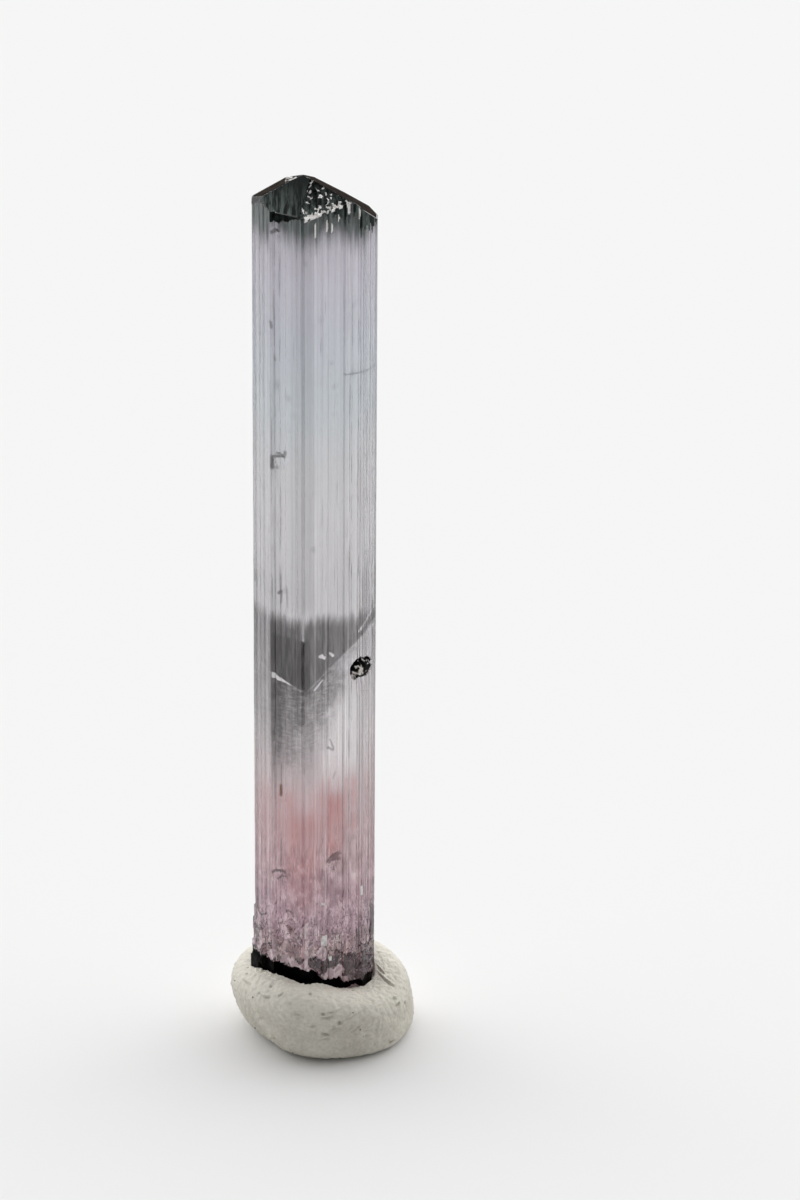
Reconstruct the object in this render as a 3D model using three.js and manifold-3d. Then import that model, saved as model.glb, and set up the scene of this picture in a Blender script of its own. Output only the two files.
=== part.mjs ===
// A striated tourmaline crystal standing upright in a pressed lump of putty.
// Millimetres, +Z up. The origin lies under the crystal's axis, on the surface that the putty stands on.
// The front is -Y. Azimuths are in degrees from the front and grow towards +X.
import * as THREE from "three";
import { mergeVertices } from "three/addons/utils/BufferGeometryUtils.js";
import Module from "manifold-3d";

const wasm = await Module();
wasm.setup();

// Crystal: heights
const APEX = new THREE.Vector3(-0.35, 0, 57.05);
const BASE_LEVEL = 3.6;
const BASE_ROUGHNESS = 0.3;
const DRAWN_BOTTOM = 1;
const DRAWN_TOP = 60;

// Crystal: prism faces in turn, each at its distance from the axis
const PRISM_FACES = [
  { azimuth: -30, distance: 3.22 },
  { azimuth: 30, distance: 2.67 },
  { azimuth: 60, distance: 3.27 },
  { azimuth: 90, distance: 3.7 },
  { azimuth: 150, distance: 2.95 },
  { azimuth: 180, distance: 2.4 },
  { azimuth: 210, distance: 2.95 },
  { azimuth: 270, distance: 3.7 },
  { azimuth: 300, distance: 3.37 },
];

// Crystal: grooves that run the whole length, at a share of their face's width
const MAIN_GROOVES = [
  { azimuth: -30, share: 0.1, width: 0.26, depth: 0.15 },
  { azimuth: -30, share: 0.92, width: 0.18, depth: 0.15 },
  { azimuth: 30, share: 0.31, width: 0.16, depth: 0.08 },
  { azimuth: 30, share: 0.41, width: 0.14, depth: 0.1 },
  { azimuth: 30, share: 0.67, width: 0.16, depth: 0.12 },
  { azimuth: 30, share: 0.95, width: 0.2, depth: 0.12 },
  { azimuth: 300, share: 0.6, width: 0.18, depth: 0.1 },
];

// Crystal: fine striation between the main grooves
const STRIP_WIDTH = { least: 0.22, most: 0.55 };
const STRIP_STEP = 0.05;
const FINE_GROOVE = { width: 0.09, depth: 0.05 };
const CORNER_INSET = 0.07;

// Crystal: facets of the low pyramid on top, by their dip and how far above the apex they would pass over it
const CAP_FACETS = [
  { azimuth: 6, slope: 24, lift: -0.08 },
  { azimuth: -32, slope: 24, lift: -0.12 },
  { azimuth: -115, slope: 29.5, lift: 0.12 },
  { azimuth: 121, slope: 32, lift: -0.22 },
  { azimuth: 182, slope: 25, lift: -0.02 },
  { azimuth: 102.4, slope: 45.7, lift: 1.25 },
  { azimuth: -90, slope: 48, lift: 1.95 },
];
const CUT_SIZE = 40;

// Crystal: three-sided growth hillocks on the rough front right facet of the cap
const HILLOCKS = { count: 46, radius: { least: 0.2, most: 0.46 }, height: 0.12, sunk: 0.05 };

// Crystal: a dark grain in a round pit on the right front face
const PIT = { azimuth: 30, along: 1.72, level: 25.76, radius: 0.64, depth: 0.36 };
const GRAIN = { radius: 0.44, sunk: 0.14 };

// Crystal: single chips on the front faces
const CHIPS = [
  { azimuth: -30, along: -0.6, level: 39.9, radius: 0.5, depth: 0.16 },
  { azimuth: -30, along: 0.24, level: 12.25, radius: 0.52, depth: 0.18 },
  { azimuth: 30, along: -0.27, level: 13.27, radius: 0.42, depth: 0.16 },
  { azimuth: -30, along: -0.75, level: 53.4, radius: 0.3, depth: 0.12 },
];

// Crystal: many small chips above the broken base, and flakes that step out towards it
const BASE_CHIPS = { count: 40, radius: { least: 0.22, most: 0.5 }, depth: 0.2, low: 4.9, high: 8.6 };
const FLAKE_RUNS = [
  { azimuth: -80, distance: 3.66, count: 4, stepOut: 0.085, top: 8.6, stepDown: 1.1, width: 1.7 },
  { azimuth: 74, distance: 3.36, count: 2, stepOut: 0.07, top: 6.4, stepDown: 0.7, width: 1.2 },
  { azimuth: 195, distance: 2.58, count: 3, stepOut: 0.08, top: 7.6, stepDown: 0.9, width: 1.9 },
];
const FLAKE_THICKNESS = 0.9;

// Putty foot
const FOOT = { halfWidth: 5.75, halfDepth: 5.3, height: 4.85, shiftX: 0.28, shiftY: 0 };
const FOOT_UNDERCUT = 0.85;
const FOOT_PROFILE = [
  [0.82, 0],
  [0.92, 0.11],
  [0.98, 0.3],
  [1.0, 0.54],
  [0.98, 0.74],
  [0.9, 0.9],
  [0.7, 0.98],
];
const FOOT_SEGMENTS = 48;
const FOOT_PROFILE_STEPS = 14;
const FOOT_LUMPS = [
  { waves: 2, size: 0.022, phase: 0.6 },
  { waves: 3, size: 0.02, phase: 2.1 },
  { waves: 5, size: 0.012, phase: 4.0 },
];
const FOOT_TOP_TILT = -0.055;
const FOOT_TOP_WAVES = [
  { azimuth: 64, spread: 48, rise: -0.95 },
  { azimuth: -30, spread: 36, rise: 0.2 },
  { azimuth: -94, spread: 34, rise: -0.7 },
];
const THUMB_DENTS = [
  { azimuth: 20, level: 1.6, reach: 2.2, depth: 0.16 },
  { azimuth: -48, level: 1.2, reach: 1.8, depth: 0.3 },
  { azimuth: 150, level: 2.6, reach: 2.2, depth: 0.35 },
  { azimuth: -130, level: 2.3, reach: 2, depth: 0.3 },
];
const PRESSED_RIM = { radius: 4.45, width: 0.55, height: 0.22 };
const SOCKET_FLOOR = 2.9;
const SOCKET_GAP = 0.3;

const UP = new THREE.Vector3(0, 0, 1);
const radians = THREE.MathUtils.degToRad;

// A repeatable stream of numbers from 0 to 1.
function seededRandom(seed) {
  let state = seed;
  return () => {
    state = (state * 1664525 + 1013904223) % 4294967296;
    return state / 4294967296;
  };
}

const between = (range, share) => range.least + (range.most - range.least) * share;

// The horizontal outward direction at an azimuth, and the direction along a face there.
const outward = (azimuth) => new THREE.Vector2(Math.sin(radians(azimuth)), -Math.cos(radians(azimuth)));
const sideways = (azimuth) => new THREE.Vector2(Math.cos(radians(azimuth)), Math.sin(radians(azimuth)));

// A closed geometry as a solid that can be joined and cut.
function solid(geometry) {
  const bare = geometry.clone();
  bare.deleteAttribute("normal");
  bare.deleteAttribute("uv");
  const merged = mergeVertices(bare);
  const vertProperties = merged.attributes.position.array;
  const triVerts = new Uint32Array(merged.index.array);
  return new wasm.Manifold(new wasm.Mesh({ numProp: 3, vertProperties, triVerts }));
}

// A solid as a named mesh.
function namedMesh(name, made, material) {
  const { vertProperties, triVerts } = made.getMesh();
  const geometry = new THREE.BufferGeometry();
  geometry.setAttribute("position", new THREE.BufferAttribute(vertProperties, 3));
  geometry.setIndex(new THREE.BufferAttribute(triVerts, 1));
  geometry.computeVertexNormals();
  const mesh = new THREE.Mesh(geometry, material);
  mesh.name = name;
  return mesh;
}

// Where two neighbouring prism faces meet, with both moved out by a growth.
function cornerOf(face, next, growth) {
  const a = outward(face.azimuth);
  const b = outward(next.azimuth);
  const cross = a.cross(b);
  const u = face.distance + growth;
  const v = next.distance + growth;
  return new THREE.Vector2((u * b.y - v * a.y) / cross, (v * a.x - u * b.x) / cross);
}

// The corner at the start of each prism face.
function prismCorners(growth) {
  return PRISM_FACES.map((face, i) => cornerOf(PRISM_FACES.at(i - 1), face, growth));
}

// The grooves of one face: its main ones, and fine ones at uneven steps between them.
function groovesOf(face, length, random) {
  const grooves = MAIN_GROOVES.filter((groove) => groove.azimuth === face.azimuth).map((groove) => ({
    at: groove.share * length,
    width: groove.width,
    depth: groove.depth,
  }));
  const main = [...grooves];
  let at = between(STRIP_WIDTH, random());
  while (at < length - STRIP_WIDTH.least) {
    const place = at;
    if (main.every((groove) => Math.abs(groove.at - place) > groove.width)) {
      grooves.push({ at, width: FINE_GROOVE.width, depth: FINE_GROOVE.depth * (0.4 + random()) });
    }
    at += between(STRIP_WIDTH, random());
  }
  return grooves.sort((a, b) => a.at - b.at);
}

// One face of the prism's outline: flat strips at slightly different depths with a groove after each.
function striatedFace(face, start, end, random) {
  const normal = outward(face.azimuth);
  const along = sideways(face.azimuth);
  const length = start.distanceTo(end);
  const point = (t, depth) => start.clone().addScaledVector(along, t).addScaledVector(normal, -depth);
  const points = [];
  let from = CORNER_INSET;
  for (const groove of groovesOf(face, length, random)) {
    const recess = STRIP_STEP * random();
    points.push(point(from, recess));
    points.push(point(groove.at - groove.width / 2, recess));
    points.push(point(groove.at, recess + groove.depth));
    from = groove.at + groove.width / 2;
  }
  const lastRecess = STRIP_STEP * random();
  points.push(point(from, lastRecess));
  points.push(point(length - CORNER_INSET, lastRecess));
  return points;
}

// An outline drawn up through the crystal's whole height.
function columnOf(points, bottom) {
  const column = new THREE.ExtrudeGeometry(new THREE.Shape(points), {
    depth: DRAWN_TOP - bottom,
    bevelEnabled: false,
  });
  return solid(column.translate(0, 0, bottom));
}

// The prism with its striated sides.
function striatedPrism() {
  const random = seededRandom(11);
  const corners = prismCorners(0);
  const points = PRISM_FACES.flatMap((face, i) =>
    striatedFace(face, corners[i], corners[(i + 1) % corners.length], random),
  );
  return columnOf(points, DRAWN_BOTTOM);
}

// Stepped flakes round the foot of the prism, grown on all sides where they cut a socket.
function flakes(growth, bottom) {
  const pieces = [];
  for (const run of FLAKE_RUNS) {
    const normal = outward(run.azimuth);
    for (let i = 0; i < run.count; i++) {
      const top = run.top - run.stepDown * i;
      const width = run.width * (1 - 0.1 * i) + 2 * growth;
      const slab = new THREE.BoxGeometry(width, FLAKE_THICKNESS, top - bottom);
      const reach = run.distance + run.stepOut * (i + 1) + growth - FLAKE_THICKNESS / 2;
      slab.rotateZ(radians(run.azimuth + (i % 2 ? 7 : -6)));
      slab.translate(normal.x * reach, normal.y * reach, (top + bottom) / 2);
      pieces.push(solid(slab));
    }
  }
  return pieces.reduce((all, piece) => all.add(piece));
}

const facetNormal = ({ azimuth, slope }) => {
  const level = outward(azimuth).multiplyScalar(Math.sin(radians(slope)));
  return new THREE.Vector3(level.x, level.y, Math.cos(radians(slope)));
};

// Everything above one facet of the cap.
function aboveFacet(facet) {
  const block = new THREE.BoxGeometry(CUT_SIZE, CUT_SIZE, CUT_SIZE);
  block.translate(0, 0, CUT_SIZE / 2);
  block.applyQuaternion(new THREE.Quaternion().setFromUnitVectors(UP, facetNormal(facet)));
  block.translate(APEX.x, APEX.y, APEX.z + facet.lift);
  return solid(block);
}

// The height of a facet's plane over a spot of the plan.
function heightOver(facet, spot) {
  const normal = facetNormal(facet);
  const run = normal.x * (spot.x - APEX.x) + normal.y * (spot.y - APEX.y);
  return APEX.z + facet.lift - run / normal.z;
}

// Low three-sided pyramids scattered over the front right facet, where no other facet cuts lower.
function hillocks() {
  const random = seededRandom(5);
  const [facet, ...others] = CAP_FACETS;
  const turn = new THREE.Quaternion().setFromUnitVectors(UP, facetNormal(facet));
  const corners = prismCorners(0);
  const [, front, right] = corners;
  const pieces = [];
  for (let i = 0; i < HILLOCKS.count; i++) {
    const radius = between(HILLOCKS.radius, random());
    const inward = 0.1 + 0.8 * random();
    const edge = front.clone().lerp(right, 0.05 + 0.9 * random());
    const spot = edge.lerp(new THREE.Vector2(APEX.x, APEX.y), inward);
    const height = HILLOCKS.height * (0.5 + random());
    const twist = 0.6 * random();
    const level = heightOver(facet, spot);
    if (others.some((other) => heightOver(other, spot) < level)) continue;
    const hillock = new THREE.ConeGeometry(radius, height, 3);
    hillock.rotateX(Math.PI / 2);
    hillock.rotateZ(twist);
    hillock.translate(0, 0, height / 2 - HILLOCKS.sunk);
    hillock.applyQuaternion(turn);
    hillock.translate(spot.x, spot.y, level);
    pieces.push(solid(hillock));
  }
  return pieces.reduce((all, piece) => all.add(piece));
}

// A point on a prism face, at a distance along it from the foot of its normal, and out from it.
function onFace({ azimuth, along, level }, out) {
  const face = PRISM_FACES.find((each) => each.azimuth === azimuth);
  const spot = outward(azimuth).multiplyScalar(face.distance + out);
  spot.addScaledVector(sideways(azimuth), along);
  return new THREE.Vector3(spot.x, spot.y, level);
}

// A small angular bite out of a face.
function bite(place, radius, depth, turn) {
  const shape = new THREE.OctahedronGeometry(radius);
  shape.scale(1, 1, 1.3);
  shape.rotateZ(turn);
  const spot = onFace(place, radius * 0.75 - depth);
  return solid(shape.translate(spot.x, spot.y, spot.z));
}

// All chips: the single ones, and a crowd of small ones just above the broken base.
function chips() {
  const random = seededRandom(23);
  const single = CHIPS.map((chip) => bite(chip, chip.radius, chip.depth, radians(chip.azimuth + 20)));
  const corners = prismCorners(0);
  const crowd = [];
  for (let i = 0; i < BASE_CHIPS.count; i++) {
    const at = Math.floor(random() * PRISM_FACES.length);
    const { azimuth } = PRISM_FACES[at];
    const spot = corners[at].clone().lerp(corners[(at + 1) % corners.length], random());
    const level = BASE_CHIPS.low + (BASE_CHIPS.high - BASE_CHIPS.low) * random() ** 1.6;
    const place = { azimuth, along: spot.dot(sideways(azimuth)), level };
    const depth = BASE_CHIPS.depth * (0.4 + 0.6 * random());
    crowd.push(bite(place, between(BASE_CHIPS.radius, random()), depth, random() * Math.PI));
  }
  return [...single, ...crowd].reduce((all, piece) => all.add(piece));
}

// The space below the crystal's uneven fracture.
function brokenBelow() {
  const random = seededRandom(31);
  const block = new THREE.BoxGeometry(12, 12, 8, 12, 12, 1);
  block.translate(0, 0, BASE_LEVEL - 4);
  const position = block.attributes.position;
  const rise = new Map();
  for (let i = 0; i < position.count; i++) {
    if (position.getZ(i) < BASE_LEVEL - 1) continue;
    const key = `${position.getX(i).toFixed(2)} ${position.getY(i).toFixed(2)}`;
    if (!rise.has(key)) rise.set(key, BASE_ROUGHNESS * (2 * random() - 1));
    position.setZ(i, BASE_LEVEL + rise.get(key));
  }
  return solid(block);
}

// The round pit and the angular grain that sits in it.
function pit() {
  const spot = onFace(PIT, PIT.radius - PIT.depth);
  return solid(new THREE.SphereGeometry(PIT.radius, 12, 8).translate(spot.x, spot.y, spot.z));
}

function grain() {
  const spot = onFace(PIT, -GRAIN.sunk);
  return solid(new THREE.DodecahedronGeometry(GRAIN.radius).translate(spot.x, spot.y, spot.z));
}

// The whole crystal, grown as one piece.
function crystal() {
  let body = striatedPrism().subtract(chips()).add(flakes(0, DRAWN_BOTTOM));
  for (const facet of CAP_FACETS) body = body.subtract(aboveFacet(facet));
  body = body.add(hillocks()).subtract(brokenBelow());
  return body.subtract(pit()).add(grain());
}

// The shortest turn in radians to an azimuth from a mark in degrees.
function turnFrom(mark, azimuth) {
  const turn = azimuth - radians(mark);
  return Math.atan2(Math.sin(turn), Math.cos(turn));
}

// How far the putty's top rises or falls at an azimuth.
function waveAt(azimuth) {
  let rise = 0;
  for (const wave of FOOT_TOP_WAVES) {
    const away = turnFrom(wave.azimuth, azimuth) / radians(wave.spread);
    rise += wave.rise * Math.exp(-(away ** 2));
  }
  return rise;
}

// How far the putty is pressed in at a point of its side.
function dentAt(azimuth, level) {
  let dent = 0;
  for (const thumb of THUMB_DENTS) {
    const across = turnFrom(thumb.azimuth, azimuth) * FOOT.halfWidth;
    const away = (across ** 2 + (level - thumb.level) ** 2) / thumb.reach ** 2;
    dent += thumb.depth * Math.exp(-2 * away);
  }
  return dent;
}

// The lump of putty: a turned profile pulled oval, lumpy and dented, flat where it stands.
function puttyLump() {
  const profile = new THREE.SplineCurve(FOOT_PROFILE.map(([r, h]) => new THREE.Vector2(r, h)));
  const rounded = profile.getPoints(FOOT_PROFILE_STEPS).map((p) => new THREE.Vector2(p.x, Math.max(p.y, 0)));
  const top = new THREE.Vector2(0, 1);
  const middle = new THREE.Vector2(0.35, 1);
  const lump = new THREE.LatheGeometry([new THREE.Vector2(0, 0), ...rounded, middle, top], FOOT_SEGMENTS);
  lump.rotateX(Math.PI / 2);
  const position = lump.attributes.position;
  for (let i = 0; i < position.count; i++) {
    const flat = new THREE.Vector2(position.getX(i), position.getY(i));
    const share = position.getZ(i);
    const azimuth = Math.atan2(flat.x, -flat.y);
    const lumps = FOOT_LUMPS.reduce((sum, l) => sum + l.size * Math.sin(l.waves * azimuth + l.phase), 0);
    flat.multiplyScalar(1 + lumps);
    const x = flat.x * FOOT.halfWidth;
    const y = flat.y * FOOT.halfDepth;
    const radius = Math.hypot(x, y);
    const dent = dentAt(azimuth, share * FOOT.height) * flat.length();
    const pulled = radius > 0 ? 1 - dent / radius : 1;
    const rim = PRESSED_RIM.height * Math.exp(-(((radius - PRESSED_RIM.radius) / PRESSED_RIM.width) ** 2));
    const top = FOOT.height * (1 + FOOT_TOP_TILT * flat.x) + waveAt(azimuth) * Math.min(1, 4 * flat.length());
    const z = share * top + (share > 0.9 ? rim : 0);
    const undercut = FOOT_UNDERCUT * (1 - share) ** 2;
    position.setXYZ(i, x * pulled + FOOT.shiftX + undercut, y * pulled + FOOT.shiftY, z);
  }
  return solid(lump);
}

// The putty with the socket that the crystal's base is pressed into.
function puttyFoot() {
  const socket = columnOf(prismCorners(SOCKET_GAP), SOCKET_FLOOR).add(flakes(SOCKET_GAP, SOCKET_FLOOR));
  return puttyLump().subtract(socket);
}

const tourmaline = new THREE.MeshStandardMaterial({ color: 0xb9b4c2, roughness: 0.18, metalness: 0 });
const putty = new THREE.MeshStandardMaterial({ color: 0xaaa8a1, roughness: 0.9, metalness: 0 });

const specimen = new THREE.Group();
specimen.name = "tourmaline_crystal";
specimen.add(namedMesh("crystal", crystal(), tourmaline));
specimen.add(namedMesh("putty_foot", puttyFoot(), putty));

export default specimen;
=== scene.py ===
"""A colour-zoned tourmaline crystal standing in a pressed putty foot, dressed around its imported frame."""

import logging
import math
from collections.abc import Sequence
from dataclasses import dataclass, field
from enum import Enum, IntEnum

import bpy
import numpy as np
from bpy.types import Material, Node, NodeTree, Object
from bpy.types import NodeSocket as Socket
from mathutils import Matrix, Vector


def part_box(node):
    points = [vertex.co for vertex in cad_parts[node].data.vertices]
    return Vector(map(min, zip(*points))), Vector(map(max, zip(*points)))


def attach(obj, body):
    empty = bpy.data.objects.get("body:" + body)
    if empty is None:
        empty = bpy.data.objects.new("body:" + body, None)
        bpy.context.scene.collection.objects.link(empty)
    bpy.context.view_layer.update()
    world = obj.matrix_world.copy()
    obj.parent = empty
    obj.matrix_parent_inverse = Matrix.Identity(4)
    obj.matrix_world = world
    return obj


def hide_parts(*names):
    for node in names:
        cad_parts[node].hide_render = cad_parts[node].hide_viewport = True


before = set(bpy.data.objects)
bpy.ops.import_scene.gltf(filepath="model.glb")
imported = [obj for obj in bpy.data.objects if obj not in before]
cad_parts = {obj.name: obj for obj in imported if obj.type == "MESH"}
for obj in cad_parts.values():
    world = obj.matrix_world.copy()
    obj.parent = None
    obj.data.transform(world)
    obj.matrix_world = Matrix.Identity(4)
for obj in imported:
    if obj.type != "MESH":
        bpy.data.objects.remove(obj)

log = logging.getLogger("tourmaline")

MM = 0.001
BODY = "root"
IMAGE_HEIGHT_PX = 1200
SENSOR_MM = 36.0

Array = np.ndarray
Colour = tuple[float, float, float, float]
Value = Socket | float | Sequence[float]
Spot = tuple[Socket, Socket, Socket]
Run = tuple[float, float]
Window = tuple[float, float, float, float]
Marks = dict[str, list[Array]]


class Side(Enum):
    """Prism faces of the crystal, each by its azimuth in degrees from the front, growing towards +X."""

    LEFT_FRONT = -30
    RIGHT_FRONT = 30
    RIGHT_RIB = 60
    RIGHT = 90
    RIGHT_BACK = 150
    BACK = 180
    LEFT_BACK = 210
    LEFT = 270
    LEFT_RIB = 300


class CapFacet(Enum):
    """Facets of the low pyramid on top, each by its azimuth and its dip in degrees."""

    ROUGH_FRONT = (6.0, 24.0)
    SMOOTH_FRONT = (-32.0, 24.0)
    LEFT = (-115.0, 29.5)
    RIGHT = (121.0, 32.0)
    BACK = (182.0, 25.0)
    RIGHT_BEVEL = (102.4, 45.7)
    LEFT_BEVEL = (-90.0, 48.0)


class Patch(Enum):
    """Places on the crystal that wear an opaque finish, each by the name of its mark on the mesh."""

    CRUMB = "crumbled"
    BLACK = "black"
    DULL = "dull"
    DARK = "dark"
    INK = "ink_edge"
    FROST = "frost"


class Seed(IntEnum):
    """Picks each repeatable draw."""

    BASE = 3
    PIT_GRAIN = 8
    LIP = 12
    CHIPS = 23
    FLAKES = 40
    BREAK = 51
    STREAKS = 61
    CREASES = 77


def facet_number(facet: CapFacet) -> int:
    """Give a cap facet's place in the list of facets."""
    return list(CapFacet).index(facet)


def paint(code: str) -> Colour:
    """Turn a display colour into the linear colour that a shader takes.

    Args:
        code: Six hexadecimal digits, red, green and blue.

    Returns:
        Linear red, green, blue and a full alpha.
    """
    shares = [int(code[i : i + 2], 16) / 255 for i in (0, 2, 4)]
    linear = [s / 12.92 if s <= 0.04045 else ((s + 0.055) / 1.055) ** 2.4 for s in shares]
    return (linear[0], linear[1], linear[2], 1.0)


def outward(azimuth: float) -> Array:
    """Give the level direction that faces an azimuth in degrees."""
    angle = math.radians(azimuth)
    return np.array([math.sin(angle), -math.cos(angle)])


def smooth_step(values: Array, low: float, high: float) -> Array:
    """Rise smoothly from 0 at low to 1 at high, or fall where low is above high."""
    t = np.clip((values - low) / (high - low), 0.0, 1.0)
    return t * t * (3.0 - 2.0 * t)


def value_noise(points: Array, seed: int) -> Array:
    """Give smooth repeatable noise from -1 to 1 on a lattice of unit cells.

    Args:
        points: One row of two or three coordinates for each point.
        seed: Picks the noise.

    Returns:
        One value for each point.
    """
    size = 64
    table = np.random.default_rng(seed).uniform(-1.0, 1.0, size**2)
    cell = np.floor(points).astype(int)
    part = points - cell
    part = part * part * (3.0 - 2.0 * part)
    total = np.zeros(len(points))
    dims = points.shape[1]
    for corner in range(2**dims):
        steps = np.array([(corner >> d) & 1 for d in range(dims)])
        at = cell + steps
        index = at[:, 0] * 1 + at[:, 1] * 57 + (at[:, 2] * 1117 if dims == 3 else 0)
        weight = np.prod(np.where(steps == 1, part, 1.0 - part), axis=1)
        total += weight * table[index % size**2]
    return total


class Graph:
    """Adds nodes to one node tree and joins them."""

    def __init__(self, tree: NodeTree) -> None:
        """Work on a tree that is empty or holds only its group ends."""
        self.tree = tree

    def add(self, kind: str, **settings: object) -> Node:
        """Add a node.

        Args:
            kind: The node's type name.
            settings: Properties of the node to set.

        Returns:
            The new node.
        """
        node = self.tree.nodes.new(kind)
        node.location = (200.0 * (len(self.tree.nodes) % 12), -180.0 * (len(self.tree.nodes) // 12))
        for name, value in settings.items():
            setattr(node, name, value)
        return node

    def feed(self, socket: Socket, value: Value) -> None:
        """Join a socket to another, or set it to a value.

        Args:
            socket: The input to fill.
            value: Another node's output, or a plain value.
        """
        if isinstance(value, Socket):
            self.tree.links.new(value, socket)
        else:
            socket.default_value = value

    def math(self, operation: str, a: Value, b: Value = 0.0, clamp: bool = False) -> Socket:
        """Give the result of one sum on one or two values.

        Args:
            operation: The name of the sum.
            a: The first value.
            b: The second value.
            clamp: Whether the result is kept from 0 to 1.

        Returns:
            The result.
        """
        node = self.add("ShaderNodeMath", operation=operation, use_clamp=clamp)
        self.feed(node.inputs[0], a)
        self.feed(node.inputs[1], b)
        return node.outputs[0]

    def plus(self, a: Value, b: Value) -> Socket:
        """Give the sum of two values."""
        return self.math("ADD", a, b)

    def minus(self, a: Value, b: Value) -> Socket:
        """Give the first value less the second."""
        return self.math("SUBTRACT", a, b)

    def larger(self, a: Value, b: Value) -> Socket:
        """Give the larger of two values."""
        return self.math("MAXIMUM", a, b)

    def product(self, *values: Value) -> Socket:
        """Give the product of several values.

        Args:
            values: The values to multiply.

        Returns:
            Their product.
        """
        result = values[0]
        for value in values[1:]:
            result = self.math("MULTIPLY", result, value)
        return result

    def blend(self, value: Value, low: float, high: float, start: float = 0.0, end: float = 1.0) -> Socket:
        """Give a value that goes smoothly from start at low to end at high.

        Args:
            value: The value to read.
            low: Where the start holds.
            high: Where the end holds.
            start: The result at low.
            end: The result at high.

        Returns:
            The result.
        """
        node = self.add("ShaderNodeMapRange", interpolation_type="SMOOTHSTEP")
        numbers = (value, low, high, start, end)
        if low > high:
            numbers = (value, high, low, end, start)
        for socket, number in zip(node.inputs[:5], numbers, strict=True):
            self.feed(socket, number)
        return node.outputs[0]

    def window(self, value: Value, low: float, rise: float, fall: float, high: float) -> Socket:
        """Give 1 between rise and fall, and 0 below low and above high."""
        return self.product(self.blend(value, low, rise), self.blend(value, high, fall))

    def mix(self, share: Value, a: Value, b: Value, mode: str = "MIX") -> Socket:
        """Give a colour between two others.

        Args:
            share: How much of the second colour there is.
            a: The first colour.
            b: The second colour.
            mode: How they are mixed.

        Returns:
            The mixed colour.
        """
        node = self.add("ShaderNodeMix", data_type="RGBA", blend_type=mode, clamp_factor=True)
        self.feed(node.inputs[0], share)
        self.feed(node.inputs[6], a)
        self.feed(node.inputs[7], b)
        return node.outputs[2]

    def vector(self, operation: str, a: Value, b: Value = 1.0) -> Socket:
        """Give the result of one sum on one or two vectors, or on a vector and a scale.

        Args:
            operation: The name of the sum.
            a: The first vector.
            b: The second vector, or the scale.

        Returns:
            The result.
        """
        node = self.add("ShaderNodeVectorMath", operation=operation)
        self.feed(node.inputs[0], a)
        if operation == "SCALE":
            self.feed(node.inputs["Scale"], b)
        elif operation != "LENGTH":
            self.feed(node.inputs[1], b)
        return node.outputs["Value" if operation in ("DOT_PRODUCT", "LENGTH", "DISTANCE") else "Vector"]

    def combine(self, x: Value, y: Value, z: Value) -> Socket:
        """Give a vector from three values.

        Args:
            x: The part across.
            y: The part in depth.
            z: The part upwards.

        Returns:
            The vector.
        """
        node = self.add("ShaderNodeCombineXYZ")
        for socket, value in zip(node.inputs, (x, y, z), strict=True):
            self.feed(socket, value)
        return node.outputs[0]

    def split(self, vector: Value) -> Spot:
        """Give the three parts of a vector.

        Args:
            vector: The vector.

        Returns:
            The parts across, in depth and upwards.
        """
        node = self.add("ShaderNodeSeparateXYZ")
        self.feed(node.inputs[0], vector)
        return tuple(node.outputs)

    def noise(self, vector: Value, scale: Value, detail: float = 2.0, rough: float = 0.5) -> Socket:
        """Give fractal noise from about 0 to 1.

        Args:
            vector: Where it is read.
            scale: Its steps to the unit.
            detail: How many finer layers it has.
            rough: How strong these are.

        Returns:
            The noise.
        """
        node = self.add("ShaderNodeTexNoise")
        self.feed(node.inputs["Vector"], vector)
        self.feed(node.inputs["Scale"], scale)
        self.feed(node.inputs["Detail"], detail)
        self.feed(node.inputs["Roughness"], rough)
        return node.outputs[0]

    def cells(self, vector: Value, scale: Value) -> Socket:
        """Give the distance to the nearest of many scattered points.

        Args:
            vector: Where it is read.
            scale: How many points there are to the unit.

        Returns:
            The distance.
        """
        node = self.add("ShaderNodeTexVoronoi")
        self.feed(node.inputs["Vector"], vector)
        self.feed(node.inputs["Scale"], scale)
        return node.outputs["Distance"]

    def scattered(self, vector: Value) -> Node:
        """Add scattered cells of chance shapes, about one for each unit of the vector.

        Args:
            vector: Where the cells are read.

        Returns:
            The node.
        """
        node = self.add("ShaderNodeTexVoronoi")
        self.feed(node.inputs["Vector"], vector)
        node.inputs["Scale"].default_value = 1.0
        return node

    def strips(self, count: Value, feature: str) -> Node:
        """Add a row of strips of chance widths, about one strip for each unit of the count.

        Args:
            count: Where the strips are read.
            feature: What is told of each strip.

        Returns:
            The node.
        """
        node = self.add("ShaderNodeTexVoronoi", voronoi_dimensions="1D", feature=feature)
        self.feed(node.inputs["W"], count)
        node.inputs["Scale"].default_value = 1.0
        return node

    def ramp(self, value: Value, stops: Sequence[tuple[float, Colour]]) -> Socket:
        """Give a colour from a row of colours at places from 0 to 1.

        Args:
            value: A place from 0 to 1.
            stops: The places and their colours.

        Returns:
            The colour.
        """
        node = self.add("ShaderNodeValToRGB")
        elements = node.color_ramp.elements
        while len(elements) < len(stops):
            elements.new(0.5)
        for element, (place, colour) in zip(elements, sorted(stops), strict=True):
            element.position = place
            element.color = colour
        self.feed(node.inputs[0], value)
        return node.outputs[0]


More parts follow.
